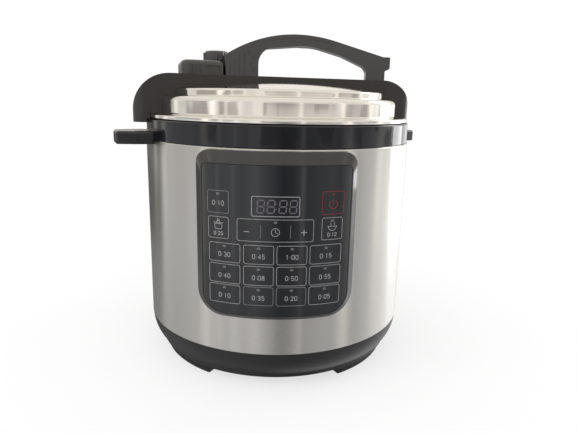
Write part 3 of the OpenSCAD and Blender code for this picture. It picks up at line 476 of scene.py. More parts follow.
def plain_metal(name, shade, rough, grain=1500, depth=0.015):
    """Cast or plated metal with a grain and a light stain."""
    f = Finish(name)
    grit = f.noise(grain, 3, 0.7)
    stains = f.noise(25, 5).between(0.5, 0.85)
    tone = f.mix(stains * 0.5, shade, rgb(0.4, 0.38, 0.35))
    return f.end(f.shader(tone, grit * 0.15 + rough + stains * 0.1, METAL, grit, depth))


def coloured(name, shade, other, rough=0.45, scale=300, depth=0.015, constants=None):
    """A coloured part whose tone drifts between two shades."""
    f = Finish(name)
    drift = f.noise(scale, 4)
    fine = f.noise(scale * 8, 2)
    return f.end(f.shader(
        f.mix(drift.between(0.3, 0.7), shade, other), fine * 0.15 + rough, constants,
        fine * 0.6 + drift * 0.4, depth))


def pot_coating(name):
    """Non-stick coating: near black with a fine pale fleck."""
    f = Finish(name)
    fleck = f.specks(1400, 0.2) * f.noise(300, 2).between(0.45, 0.6)
    orange_peel = f.noise(900, 2)
    return f.end(f.shader(
        f.mix(fleck * 0.5, rgb(0.018, 0.018, 0.02), rgb(0.22)), orange_peel * 0.1 + 0.3, {SHINE: 0.6},
        orange_peel * 0.8 + fleck * 0.3))


def panel_face_finish(name):
    """The dark printed face: gloss over black, with finger smears and dust."""
    f = Finish(name)
    turn, z, _ = f.around()
    smear = f.noise(2, 5, at=f.vector(turn * 4, z * 12, 0.0)).between(0.4, 0.75)
    dust = f.specks(700, 0.14) * f.noise(50, 2).between(0.5, 0.7)
    return f.end(f.shader(
        f.mix(dust * 0.25, rgb(0.005, 0.006, 0.0085), rgb(0.09)), smear * 0.04 + 0.05 + dust * 0.2,
        {SHINE: 0.68}, dust, 0.01))


def printed(name, shade):
    """Screen print with uneven ink."""
    f = Finish(name)
    ink = f.noise(2500, 2)
    thin = rgb(*(tone * 0.72 for tone in shade[:3]))
    return f.end(f.shader(f.mix(ink.between(0.35, 0.65), thin, shade), ink * 0.2 + 0.35, {SHINE: 0.3}))


ring_black = gloss_black("ring_black", rgb(0.004, 0.0045, 0.007), 0.05)
bow_black = gloss_black("bow_black", rgb(0.017, 0.017, 0.019), 0.16, 1.0)
frame_slate = gloss_black("frame_slate", rgb(0.013, 0.0135, 0.015), 0.09, 0.8)
handle_black = gloss_black("handle_black", rgb(0.007, 0.007, 0.008), 0.2)
base_black = satin_plastic("base_black", rgb(0.009, 0.009, 0.0105), 0.36)
wing_black = satin_plastic("wing_black", rgb(0.026, 0.023, 0.021), 0.34)
valve_black = satin_plastic("valve_black", rgb(0.02, 0.019, 0.017), 0.24, shine=0.9)
foot_rubber = satin_plastic("foot_rubber", rgb(0.012), 0.6, 1800)
drum_steel = brushed_steel("drum_steel")
lid_steel = polished_steel("lid_steel")
face_black = panel_face_finish("face_black")
print_white = printed("print_white", rgb(0.42))
print_dim = printed("print_dim", rgb(0.25, 0.25, 0.26))
print_red = printed("print_red", rgb(0.34, 0.028, 0.034))
digit_grey = printed("digit_grey", rgb(0.15, 0.13, 0.17))
lamp_grey = printed("lamp_grey", rgb(0.35, 0.34, 0.32))
pot_black = pot_coating("pot_black")
pot_white = printed("pot_white", rgb(0.5, 0.5, 0.48))
zinc = plain_metal("zinc", rgb(0.6, 0.6, 0.59), 0.28)
silicone = coloured("silicone", rgb(0.62, 0.61, 0.57), rgb(0.7, 0.69, 0.66), 0.42, 120,
                    constants={"Subsurface Weight": 0.15})
cup_smoke = coloured("cup_smoke", rgb(0.10, 0.10, 0.11), rgb(0.14, 0.14, 0.15), 0.16, 60, 0.008,
                     {"Transmission Weight": 0.55, "IOR": 1.46})


# ---- Sizes ----

DRUM_R, DRUM_LOW, DRUM_TOP = 130.7, 36, 212
RING_R, RING_IN, RING_TOP, TROUGH = 130, 127.5, 230.5, 214.5
FACE_R = 136
RIM_R, RIM_Z = 128.2, 231
STEP_R, STEP_TOP, STEP_BEND = 117, 251.6, 4.5
CROWN_R, CROWN_EDGE, CROWN_TOP, CROWN_BEND = 104.7, 258.3, 266.5, 2
STRIP_TOP, BOW_TOP, CASE_TOP = 271.8, 312.5, 285.2
VALVE, FLOAT = (-58.2, 27.5), (-84, 20)
FOOT = 8.4

# The lid's pieces are drawn with the bow along X and then turned by this angle.
LID_TURN = 15
on_lid = turned_about_z(LID_TURN)


# ---- Base ----

CURVE_R, CURVE_Z, CURVE = 98.3, 35, 32
LIP_ANGLE = math.degrees(math.asin((CURVE_Z - 12) / CURVE))
LIP_R = polar(CURVE, LIP_ANGLE, (CURVE_R, CURVE_Z))[0]
SKIRT_WALL = 3.1

skirt = Shape().turned(
    [(LIP_R - 0.6, FOOT), (LIP_R, 9), (LIP_R, 11.4), (LIP_R + 0.25, 12)]
    + arc((CURVE_R, CURVE_Z), CURVE, 1.5 - LIP_ANGLE, 0, 20)
    + [(130.3, 35.5), (130, DRUM_LOW), (129.75, DRUM_LOW + 0.05), (129.75, 44), (127.3, 44), (127.3, 35)]
    + arc((CURVE_R, CURVE_Z), CURVE - SKIRT_WALL, 0, 2 - LIP_ANGLE, 12)
    + [(96, 15), (96, 11), (LIP_R - 2.5, 11), (LIP_R - 2.5, FOOT)])
piece("base_skirt_moulding", skirt, base_black, "cooker", ["base_skirt"], sharp=40)

TREADS, TREAD, TREAD_GAP = 4, 1.5, 1.9
feet = Shape()
for turn in (42, 138, 222, 318):
    feet.turned(soft_box(98.65, 0, 116.65, FOOT, [1.6, 1.6, 0.6, 0.6]),
                steps=16, start=turn - 16.75, sweep=33.5)
    for k in range(TREADS):
        near = 101.5 + (TREAD + TREAD_GAP) * k
        feet.turned(box(near, 0, near + TREAD, 1), steps=12, start=turn - 13, sweep=26)
piece("feet_pads", feet, foot_rubber, "cooker", ["feet"], soft=0.5)

COVER_R, COVER_TOP = 117.9, 11
SLOTS, SLOT_PITCH, SLOT_HALF = 7, 8, 32
cover_profile = [(AXIS, FOOT), (COVER_R - 0.5, FOOT), (COVER_R, FOOT + 0.5), (COVER_R, COVER_TOP),
                 (AXIS, COVER_TOP)]
cover = as_object("bottom_cover_moulding", Shape().turned(cover_profile, steps=96))
slots = Shape()
for k in range(SLOTS):
    y = SLOT_PITCH * (k - 3)
    slots.slab(soft_box(-SLOT_HALF, y - 1.5, SLOT_HALF, y + 1.5, 1.4, 4), 7, 12)
carve(cover, slots)
posts = Shape()
for x in (-46, 46):
    for y in (-36, 36):
        posts.rod(3.5, 10.5, 20, (x, y), 24)
carve(cover, posts, "UNION")
dress(cover, base_black, "cooker", ["bottom_cover"])


# ---- Drum and ring ----

BEAD = 1.2          # radius of the rolled edge
drum = as_object("drum_sheet", Shape().turned(
    [(129.9, DRUM_LOW), (130.5, DRUM_LOW), (DRUM_R, 36.3), (DRUM_R, 209.6), (130.55, 210), (DRUM_R, 210.4)]
    + arc((DRUM_R - BEAD, DRUM_TOP - BEAD), BEAD, 0, 90, 6)
    + [(125.9, DRUM_TOP), (125.9, 211.2), (129.4, 211.2), (129.9, 210.6)], steps=240))
drum_holes = Shape().slab(soft_box(-61, 79, 61, 195, [13, 13, 4, 4], 6), -140, -40, front_view)
drum_holes.slab(box(-20.3, 48, 20.3, 74), 60, 140, front_view)
carve(drum, drum_holes)
dress(drum, drum_steel, "cooker", ["steel_drum"])

ring_profile = [(118.3, DRUM_TOP), (123.3, DRUM_TOP), (123.3, 204), (125.8, 204), (125.8, 212.05),
                (129.3, 212.05), (129.75, 212.3), (RING_R, 212.9), (RING_R, 229.3), (129.8, 229.9),
                (129.2, 230.4), (128.5, RING_TOP), (127.9, 230.4), (RING_IN, 230),
                (RING_IN, TROUGH + 0.4), (RING_IN - 0.4, TROUGH), (118.3, TROUGH)]
piece("upper_ring_moulding", Shape().turned(ring_profile, steps=240), ring_black, "cooker", ["upper_ring"],
      sharp=50)


# ---- Side handles ----

GRIP_LOW, GRIP_TOP, GRIP_FOOT_R = 208.4, 220, 130.05


def side_handle(name, node, turn):
    """A grip that hugs the ring, with three finger pockets underneath."""
    neck = math.degrees(math.asin(20 / GRIP_FOOT_R))
    outline = rounded([(142, -20, 5), (160, -14, 3), (160, 14, 3), (142, 20, 5)]
                      + [(x, y, 0) for x, y in arc((0, 0), GRIP_FOOT_R, neck, -neck, 14)], 5)
    handle = as_object(name, Shape().slab(outline, GRIP_LOW, GRIP_TOP))
    soften(handle, 3.2, 4, 30, lambda p: p.z > GRIP_TOP - 1 and p.x > 131.5)
    soften(handle, 0.8, 2, 50, lambda p: p.z < GRIP_LOW + 0.6 and math.hypot(p.x, p.y) > 132)
    carve(handle, Shape().rod(DRUM_R + 0.15, 200, 212.1, steps=180))
    pockets = Shape()
    for y in (-8, 0, 8):
        pockets.slab(soft_box(134.5, y - 3, 155, y + 3, 2), 207, 211.6)
    carve(handle, pockets)
    spin(handle, turn)
    dress(handle, handle_black, "cooker", [node], sharp=35)


side_handle("side_handle_left_grip", "side_handle_left", 202)
side_handle("side_handle_right_grip", "side_handle_right", 22)


# ---- Control panel ----

# Each edge: half the width, the lower and upper end, and the radii of the upper and lower corners.
FRAME_EDGE = (66.5, 69.6, 210, 11, 22)
FACE_EDGE = (61.74, 73.2, 200.6, 5, 18)
SHEET_R, SHEET_INSET = 135.95, 1.15


def on_face(x, z, r):
    """A point seen from the front, set back on a cylinder about the part's axis."""
    return (x, -math.sqrt(r * r - x * x), z)


def edge_loop(edge, inset, r):
    """An edge of the panel, moved in by an inset and set back on a cylinder."""
    half, low, high, top, foot = edge
    foot, top = foot - inset, max(top - inset, 0.5)
    outline = soft_box(inset - half, low + inset, half - inset, high - inset, [foot, foot, top, top], 12)
    return [on_face(x, z, r) for x, z in spaced(outline, 160)]


outer_edge = [(0, 130), (0, 132.3), (0.12, 132.7), (0.45, 132.97), (0.8, 133.1)]
inner_edge = [(-0.55, 135.75), (-0.25, 135.9), (0.1, 135.98), (0.45, 135.98), (0.62, 135.85), (0.66, 134.4),
              (4, 134.4), (4, 129), (0.5, 129)]
frame_rings = ([edge_loop(FRAME_EDGE, *at) for at in outer_edge]
               + [edge_loop(FACE_EDGE, *at) for at in inner_edge])
piece("panel_surround", Shape().loft(frame_rings + [frame_rings[0]], ends=False), frame_slate, "cooker",
      ["panel_frame"], sharp=48)

FLAT_HALF, FLAT_LOW, FLAT_TOP, FLAT_TOP_BEND, FLAT_FOOT_BEND = (
    size + way * SHEET_INSET for size, way in zip(FACE_EDGE, (-1, 1, -1, -1, -1)))


def fall_in(bend, from_edge):
    """How far a corner of a radius draws the edge in, at a distance from its end."""
    return bend - math.sqrt(bend ** 2 - (bend - from_edge) ** 2) if from_edge < bend else 0


SHEET_COLUMNS, SHEET_ROWS = 120, 4
face = Shape()
columns = []
for k in range(SHEET_COLUMNS + 1):
    x = FLAT_HALF * math.sin(math.pi / 2 * (2 * k / SHEET_COLUMNS - 1))
    low = FLAT_LOW + fall_in(FLAT_FOOT_BEND, FLAT_HALF - abs(x))
    high = FLAT_TOP - fall_in(FLAT_TOP_BEND, FLAT_HALF - abs(x))
    rise = (high - low) / SHEET_ROWS
    columns.append([on_face(x, low + rise * i, SHEET_R) for i in range(SHEET_ROWS + 1)])
face.loft(columns, ends=False, around=False)
sheet_side = [(SHEET_INSET, SHEET_R), (0.95, 135.9), (0.85, 135.75), (0.85, 134.5), (4, 134.5)]
face.loft([edge_loop(FACE_EDGE, *at) for at in sheet_side], ends=False)
piece("panel_face_sheet", face, face_black, "cooker", ["panel_face"], sharp=40)


# ---- Print on the face ----

# Places on the face are given as distance round it from its middle, and height.
PRINT_R = SHEET_R + 0.005
PRINT_H, PRINT_SUNK = 0.05, -0.05


def stroke(shape, points, width, closed=False):
    """A thin raised line on the face through points."""
    fine = []
    for a, b in zip(points, points[1:] + points[:1] if closed else points[1:]):
        steps = max(1, int(math.dist(a, b) / 3))
        fine += [Vector(a).lerp(Vector(b), i / steps) for i in range(steps)]
    if not closed:
        fine.append(Vector(points[-1]))
    rings = []
    for i, at in enumerate(fine):
        ways = []
        if closed or i:
            ways.append((at - fine[i - 1]).normalized())
        if closed or i < len(fine) - 1:
            ways.append((fine[(i + 1) % len(fine)] - at).normalized())
        along = sum(ways, Vector((0, 0))).normalized()
        reach = width / 2 / max(abs(along.dot(ways[0])), 0.5)
        side = Vector((-along.y, along.x)) * reach
        ring = []
        for sign, lift in ((-1, PRINT_SUNK), (-1, PRINT_H), (1, PRINT_H), (1, PRINT_SUNK)):
            s, z = at + side * sign
            ring.append((*polar(PRINT_R + lift, math.degrees(s / FACE_R) - 90), z))
        rings.append(ring)
    if closed:
        rings.append(rings[0])
    shape.loft(rings, ends=not closed)


def key_outline(shape, left, low, right, high):
    """The outline of a key."""
    stroke(shape, soft_box(left, low, right, high, 1.6, 4), 0.36, closed=True)


def lamp(shape, s, z):
    """The outline of a key's small lamp."""
    stroke(shape, soft_box(s - 1.1, z - 0.55, s + 1.1, z + 0.55, 0.5), 0.36, closed=True)


# The strokes of each character in a box of one by one.
DIGIT = {
    "0": [[(0, .25), (.1, .05), (.5, 0), (.9, .05), (1, .25), (1, .75), (.9, .95), (.5, 1), (.1, .95),
           (0, .75), (0, .25)]],
    "1": [[(.2, .78), (.55, 1), (.55, 0)]],
    "2": [[(0, .8), (.15, .96), (.5, 1), (.88, .93), (1, .72), (.85, .5), (.3, .2), (0, 0), (1, 0)]],
    "3": [[(0, .85), (.25, 1), (.7, 1), (.95, .85), (.9, .62), (.45, .53), (.9, .45), (1, .2), (.75, .02),
           (.25, 0), (0, .14)]],
    "4": [[(.75, 0), (.75, 1), (0, .3), (1, .3)]],
    "5": [[(.95, 1), (.1, 1), (.05, .55), (.6, .62), (.98, .45), (.95, .15), (.6, 0), (.2, 0), (0, .12)]],
    "8": [[(.5, .54), (.12, .68), (.12, .9), (.5, 1), (.88, .9), (.88, .68), (.5, .54), (.05, .38),
           (.05, .1), (.5, 0), (.95, .1), (.95, .38), (.5, .54)]],
    ":": [[(.5, .25), (.5, .33)], [(.5, .67), (.5, .75)]],
}


def number(shape, text, middle, low, height=3.6):
    """A number centred on a place of the face."""
    wide, gap = height * 0.56, height * 0.3
    sizes = [wide * 0.35 if c == ":" else wide for c in text]
    left = middle - (sum(sizes) + gap * (len(text) - 1)) / 2
    for c, size in zip(text, sizes):
        for line in DIGIT[c]:
            stroke(shape, [(left + x * size, low + y * height) for x, y in line], 0.45)
        left += size + gap


white_print, dim_print, red_print, lamps, segments = Shape(), Shape(), Shape(), Shape(), Shape()

# Twelve keys in three rows, with a time, a lamp and an outline each.
COLUMNS = [(-56.5, -29.3), (-26.3, -1.6), (1, 25.6), (28.2, 55.6)]
ROWS = [(119.2, 135), (101, 117.2), (83.4, 99.4)]
TIMES = ["0:30 0:45 1:00 0:15", "0:40 0:08 0:50 0:55", "0:10 0:35 0:20 0:05"]
LAMP_DROP = 2.5
for r, (low, high) in enumerate(ROWS):
    for c, (left, right) in enumerate(COLUMNS):
        middle = (left + right) / 2
        key_outline(white_print if r < 2 or c in (0, 3) else dim_print, left, low, right, high)
        number(white_print, TIMES[r].split()[c], middle, low + 4.6)
        lamp(lamps, middle, high - LAMP_DROP)

# The side keys by the display: the upper left one is dim, and the upper right one is red.
for left, low, right, high, ink in ((-57.6, 160, -38.9, 178.2, dim_print),
                                    (-57, 139, -39, 156.8, white_print),
                                    (37.6, 139.3, 55.8, 157.6, white_print)):
    key_outline(ink, left, low, right, high)
    lamp(lamps, (left + right) / 2, high - LAMP_DROP)
number(white_print, "0:10", -48.2, 166.4)
number(white_print, "0:25", -48, 141.6, 2.9)
number(white_print, "0:12", 46.7, 142, 2.9)
key_outline(red_print, 37.3, 160.6, 56.4, 179.2)
lamp(red_print, 46.8, 176.7)
stroke(red_print, arc((46.8, 168.6), 3.6, 125, 415, 16), 0.55)
stroke(red_print, [(46.8, 168.9), (46.8, 173)], 0.55)

# The covered pan and the bowl over the two lower side keys, with steam, and on the wide key minus,
# plus and a clock between two thin lines.
key_outline(white_print, -31.8, 138.4, 30.5, 156.7)
lamp(lamps, -0.7, 154.5)
stroke(white_print, soft_box(-51.2, 146.6, -44.8, 151, [1.6, 1.6, 0, 0]), 0.4, closed=True)
stroke(white_print, arc((-0.5, 146.3), 3.3, 0, 345, 20), 0.42, closed=True)
for ink, width, lines in (
        (white_print, 0.35, [[(s, 151.4), (s + 0.5, 152.5), (s, 153.6)] for s in (45, 48.4)]),
        (white_print, 0.4, [[(-52.2, 151.9), (-43.8, 151.9)], arc((-48, 151.9), 1.6, 10, 170, 6),
                            arc((46.7, 150.4), 3.6, 180, 360, 10), [(42.4, 150.4), (51, 150.4)]]),
        (white_print, 0.42, [[(-0.5, 148.7), (-0.5, 146.3), (1.3, 145.2)]]),
        (white_print, 0.6, [[(-26.1, 146.2), (-21.7, 146.2)], [(20.2, 146.2), (25, 146.2)],
                            [(22.6, 143.8), (22.6, 148.6)]]),
        (dim_print, 0.35, [[(s, 141.2), (s, 152)] for s in (-12.5, 11.6)])):
    for line in lines:
        stroke(ink, line, width)

# The display window and its four unlit digits, of seven leaning segments each.
stroke(white_print, soft_box(-19.9, 159.3, 18.5, 175.3, 1.2, 4), 0.5, closed=True)
DIGIT_LOW, DIGIT_PITCH, COLON_GAP, LEAN = 162.2, 8.3, 1.2, 0.08
across = [((0.6, z), (5, z)) for z in (0, 5.1, 10.2)]
upright = [((s, z), (s, z + 3.9)) for z in (0.6, 5.7) for s in (0, 5.6)]
for k in range(4):
    left = -15.8 + DIGIT_PITCH * k + (COLON_GAP if k > 1 else 0)
    for ends in across + upright:
        stroke(segments, [(left + s + z * LEAN, DIGIT_LOW + z) for s, z in ends], 1)
for z in (165.2, 169.4):
    stroke(segments, [(-0.3, z - 0.35), (-0.25, z + 0.35)], 0.9)

for name, shape, finish in (("face_print_white", white_print, print_white),
                            ("face_print_dim", dim_print, print_dim),
                            ("face_print_red", red_print, print_red),
                            ("face_key_lamps", lamps, lamp_grey),
                            ("face_display_digits", segments, digit_grey)):
    piece(name, shape, finish, "cooker", sharp=60)


# ---- Lid ----

STEP_ARC = (STEP_R - STEP_BEND, STEP_TOP - STEP_BEND)
CROWN_ARC = (CROWN_R - CROWN_BEND, CROWN_EDGE - CROWN_BEND)
SHEET = 2         # thickness of the lid's sheet

# The crown is part of a ball.
CROWN_SIDE = CROWN_R - CROWN_BEND
BALL = (CROWN_SIDE ** 2 + (CROWN_TOP - CROWN_EDGE) ** 2) / (2 * (CROWN_TOP - CROWN_EDGE))


def crown_height(r):
    """The height of the crown at a radius."""
    return CROWN_TOP - BALL + math.sqrt(BALL * BALL - r * r)


lid_out = ([(125.1, 217), (125.5, 217.4), (125.5, 230.4), (125.9, RIM_Z), (RIM_R - 0.7, RIM_Z),
            (RIM_R - 0.2, RIM_Z + 0.25), (RIM_R, RIM_Z + 0.8), (RIM_R, RIM_Z + 2.9),
            (RIM_R - 0.3, RIM_Z + 3.6), (RIM_R - 1.2, RIM_Z + 4), (STEP_R + 5, 235.6),
            (STEP_R + 1.6, 235.9), (STEP_R + 0.5, 236.2), (STEP_R, 237)]
           + arc(STEP_ARC, STEP_BEND, 0, 90, 10)
           + [(CROWN_R + 4, STEP_TOP), (CROWN_R + 0.9, STEP_TOP + 0.12), (CROWN_R + 0.25, STEP_TOP + 0.5),
              (CROWN_R, STEP_TOP + 1.1)]
           + arc(CROWN_ARC, CROWN_BEND, 0, 80, 6))
CROWN_RINGS = 24
crown = [(CROWN_SIDE * (1 - k / CROWN_RINGS) + AXIS, crown_height(CROWN_SIDE * (1 - k / CROWN_RINGS)))
         for k in range(1, CROWN_RINGS + 1)]
under = ([(123.5, 217), (123.5, 234), (STEP_R - SHEET, 234)]
         + arc(STEP_ARC, STEP_BEND - SHEET, 0, 90, 6)
         + [(CROWN_SIDE, STEP_TOP - SHEET), (CROWN_SIDE, CROWN_EDGE - SHEET)]
         + [(r, z - SHEET) for r, z in crown[1:]])
lid = as_object("lid_dome_sheet", Shape().turned(lid_out + crown + under[::-1], steps=240))
lid_bores = Shape()
for (x, y), r in (((-38, 0), 2.6), ((96, 0), 2.6), (VALVE, 5.1), (FLOAT, 4.1)):
    lid_bores.rod(r, 245, 275, on_lid(x, y, 0)[:2], 32)
carve(lid, lid_bores)
dress(lid, lid_steel, "lid", ["lid_dome"], sharp=50)

LUGS = 12
lugs = Shape()
for k in range(LUGS):
    lugs.turned(box(119.2, 217.05, 123.7, 220), steps=5, start=360 / LUGS * k + 8.5, sweep=13)
piece("lid_lugs", lugs, lid_steel, "lid", ["lid_dome"], soft=0.4)


# ---- Bracket over the lid ----

def lid_cutter(gap):
    """All that lies under the lid's sheet, grown by a gap."""
    grown = [(RIM_R + gap, RIM_Z - 2), (RIM_R + gap, RIM_Z + 4 + gap), (STEP_R + gap, 236 + gap)]
    grown += arc(STEP_ARC, STEP_BEND + gap, 0, 90, 8)
    grown += [(CROWN_R + gap, STEP_TOP + gap), (CROWN_R + gap, CROWN_EDGE - CROWN_BEND)]
    grown += arc(CROWN_ARC, CROWN_BEND + gap, 10, 80, 5) + [(r, z + gap) for r, z in crown]
    return Shape().turned([(AXIS, 200), (130.8, 200), (130.8, RIM_Z + gap)] + grown, steps=180)


END, WING_LOW, WING_W, STRIP_W, LOBE_BACK = 142, 227, 18, 14, 42
side = Shape().slab(rounded([(-END, WING_LOW, 0), (-END, STRIP_TOP, 34), (END, STRIP_TOP, 34),
                             (END, WING_LOW, 0)], 16), -80, 80, front_view)
plan = rounded([(-END, -WING_W, 12), (-90, -WING_W, 6), (-78, -STRIP_W, 6), (98, -STRIP_W, 6),
                (110, -WING_W, 6), (END, -WING_W, 12), (END, WING_W, 12), (110, WING_W, 6),
                (98, STRIP_W, 6), (-42, STRIP_W, 3), (-42, LOBE_BACK, 12), (-99, LOBE_BACK, 12),
                (-99, WING_W, 3), (-END, WING_W, 12)], 8)
bracket = as_object("lid_bracket_moulding", Shape().slab(plan, WING_LOW, STRIP_TOP + 20))
carve(bracket, side, "INTERSECT")


def on_bracket_top(p):
    """True along the rounded upper edges of the bracket."""
    if p.z < WING_LOW + 1:
        return False
    r = math.hypot(p.x, p.y)
    floor = crown_height(r) if r < CROWN_SIDE else 0
    return p.z > floor + 2.5


soften(bracket, 3, 4, 30, on_bracket_top)
carve(bracket, lid_cutter(0.12))
bores = Shape()
for middle, r in ((VALVE, 9.4), (FLOAT, 4.2)):
    bores.rod(r, 250, 280, middle, 40)
carve(bracket, bores)
spin(bracket, LID_TURN)
dress(bracket, wing_black, "lid", ["lid_bracket"], sharp=40)


# ---- Bow ----

BOW_W, BOW_MID, BOW_LEFT, BOW_RIGHT, BOW_T = 11, 18, -56.5, 117, 11
LEFT_BEND, RIGHT_BEND, FALL = 135, 165, 13.5
LEFT_TURN = math.degrees(math.asin((BOW_MID - BOW_LEFT) / LEFT_BEND))
SLOPE = math.tan(math.radians(FALL))
END_Z = BOW_TOP - 17.2
knee_x, knee_z = polar(RIGHT_BEND, 90 - FALL, (BOW_MID, BOW_TOP - RIGHT_BEND))

bow_out = ([(BOW_LEFT + 1.5, STRIP_TOP)]
           + arc((BOW_MID, BOW_TOP - LEFT_BEND), LEFT_BEND, 90 + LEFT_TURN, 90, 24)
           + arc((BOW_MID, BOW_TOP - RIGHT_BEND), RIGHT_BEND, 90, 90 - FALL, 10)
           + rounded([(knee_x + (knee_z - END_Z) / SLOPE, END_Z, 0), (BOW_RIGHT, END_Z, 1.2),
                      (BOW_RIGHT, END_Z - 11.5, 1.5), (BOW_RIGHT - 5.5, END_Z - 14, 1.5),
                      (BOW_RIGHT - 5.5, STRIP_TOP, 0)], 4))
opening = rounded([(-23.5, STRIP_TOP - 20, 0), (-23.5, BOW_TOP - BOW_T - 4, 16),
                   (28, BOW_TOP - BOW_T + 1.2, 60), (BOW_RIGHT - 55, BOW_TOP - BOW_T - 7, 40),
                   (BOW_RIGHT - 27, BOW_TOP - BOW_T - 18, 8), (BOW_RIGHT - 27, STRIP_TOP - 20, 0)], 10)


def widening(draft):
    """Places the opening so that it leans from the front edge by an angle."""
    lean, narrow = turned_about_z(-draft), math.cos(math.radians(draft))

    def place(x, y, z):
        """A place of the opening in the bow."""
        px, py, pz = lean((x - BOW_MID) * narrow, z, y)
        return (px + BOW_MID, py - BOW_W, pz)

    return place


bow = as_object("lid_bow_grip", Shape().slab(bow_out, -BOW_W, BOW_W, front_view))
for draft in (0, 20):
    carve(bow, Shape().slab(opening, -2 * BOW_W, 5 * BOW_W, widening(draft)))
soften(bow, 2.6, 4, 28, lambda p: p.z > STRIP_TOP + 0.5 and abs(p.y) > BOW_W - 0.1)

# A groove follows the bow's back on both sides.
GROOVE_IN, GROOVE = 3.4, 0.7
along = ([(LEFT_BEND, 90 + (LEFT_TURN - 7) * (1 - i / 20)) for i in range(21)]
         + [(RIGHT_BEND, 90 - FALL * i / 8) for i in range(1, 9)])


def under_back(depth):
    """A line under the bow's back, given by the radius and angle of its bends."""
    return [polar(r - depth, a, (BOW_MID, BOW_TOP - r)) for r, a in along]


grooves = Shape()
for near, far in ((-BOW_W - 1, -BOW_W + 0.5), (BOW_W - 0.5, BOW_W + 1)):
    grooves.slab(under_back(GROOVE_IN) + under_back(GROOVE_IN + GROOVE)[::-1], near, far, front_view)
carve(bow, grooves)

# Flutes and small facets dress the bow's broad foot.
flutes = Shape()
for k in range(4):
    x = -51.5 + 4.6 * k
    flutes.slab(soft_box(x - 0.5, STRIP_TOP + 1, x + 0.5, STRIP_TOP + 13 + 3 * k, 0.4),
                -BOW_W - 1, -BOW_W + 0.7, front_view)
for x, z, wide in ((-33.5, 293, 2.2), (-29.5, 288.5, 1.8), (-31.5, 282.5, 1.8), (-29, 277.5, 1.6)):
    facet = [(x - wide, z - 1.6), (x + wide * 0.6, z - 1.6), (x + wide, z + 1.8), (x - wide * 0.4, z + 1.8)]
    flutes.slab(rounded([(*corner, 0.4) for corner in facet], 3), -BOW_W - 1, -BOW_W + 0.8, front_view)
carve(bow, flutes)
spin(bow, LID_TURN)
dress(bow, bow_black, "lid", ["lid_bow"], sharp=35)


# ---- Steam valve ----

def case_plan(inset):
    """The outline of the valve's case, moved in by an inset, with a step towards the bow."""
    left, front, back, step = -97 + inset, -11 + inset, 40 - inset, 11.6 + inset
    return rounded([(left, front, 9 - inset), (-57.5 - inset, front, 1), (-57.5 - inset, step, 1),
                    (-44 - inset, step, 2), (-44 - inset, back, 11 - inset), (left, back, 11 - inset)], 6)


case_rings = [[(x, y, z) for x, y in case_plan(inset)] for inset, z in
              ((0, STRIP_TOP), (0, 280.8), (0.3, 282.1), (0.9, 283.3), (1.7, 284.1), (2.8, 284.7),
               (4.2, 285.1), (6, CASE_TOP))]
case = as_object("valve_housing_cap", Shape().loft(case_rings))
hollows = Shape()
hollows.rod(9.2, 270, 290, VALVE, 40)
hollows.rod(2.5, 270, 290, FLOAT, 24)
for k in range(7):
    hollows.rod(0.8, STRIP_TOP + 1.5, 279.5, (-97.1, -3 + 5 * k), 12)
for k in range(3):
    hollows.rod(0.7, STRIP_TOP + 1.2, 280.5, (-86.5 + 3.6 * k, -11.2), 12)
hollows.slab(soft_box(-74, STRIP_TOP + 0.8, -61, STRIP_TOP + 8.2, 0.8), -13, -9.8, front_view)
carve(case, hollows)
spin(case, LID_TURN)
dress(case, valve_black, "lid", ["valve_housing"], sharp=38)

VALVE_X, VALVE_Y = VALVE
KNOB_STEPS, RIBS, RIB_DEPTH, KNOB_TOP = 144, 24, 0.28, 296.5
knob_rings = []
for r, z in ((8.6, 274), (8.6, 285.8), (11.2, 286.2), (11.9, 286.8), (12, 287.6), (12, 293.6),
             (11.7, 295), (10.8, 296), (9.4, KNOB_TOP - 0.05), (6.5, KNOB_TOP), (6.2, 296.2),
             (0.01, 296.1)):
    ribbed = RIB_DEPTH if 286.4 < z < 295.4 and r > 11 else 0
    knob_rings.append([(*polar(r - ribbed * (1 + polar(1, RIBS * a)[0]), a, VALVE), z)
                       for a in [360 * k / KNOB_STEPS for k in range(KNOB_STEPS)]])
knob = as_object("steam_knob_cap", Shape().loft(knob_rings))
tab = soft_box(VALVE_X - 13.6, VALVE_Y - 3, VALVE_X - 6, VALVE_Y + 3, [1.5, 0, 0, 1.5], 4)
carve(knob, Shape().slab(tab, 287.4, 294.5), "UNION")
carve(knob, Shape().rod(6.65, 270, 292, VALVE, 40))
spin(knob, LID_TURN)
dress(knob, bow_black, "knob", ["steam_knob"], sharp=35)
mark = soft_box(VALVE_X - 11.5, VALVE_Y - 0.5, VALVE_X - 7.2, VALVE_Y + 0.5, 0.4)
piece("steam_knob_mark", Shape().slab(mark, 296.3, KNOB_TOP - 0.02, on_lid), print_white, "knob")


# ---- Cup and its holder ----

CUP_AT = 120
on_cup = turned_about_z(CUP_AT)
holder = as_object("cup_holder", Shape().slab(box(129, -21.5, 143, 21.5), 127, 220))
for low, high, half, far in ((120, 186.5, 17.9, 150), (120, 169, 30, 150), (180, 218, 18, 141)):
    carve(holder, Shape().slab(box(133.7, -half, far, half), low, high))
carve(holder, Shape().turned([(AXIS, 100), (130.75, 100), (130.75, DRUM_TOP), (130.05, DRUM_TOP),
                              (130.05, 230), (AXIS, 230)], steps=240))
soften(holder, 0.9, 3, 40, lambda p: p.x > 131.5)
spin(holder, CUP_AT)
dress(holder, base_black, "cooker", ["cup_bracket"])

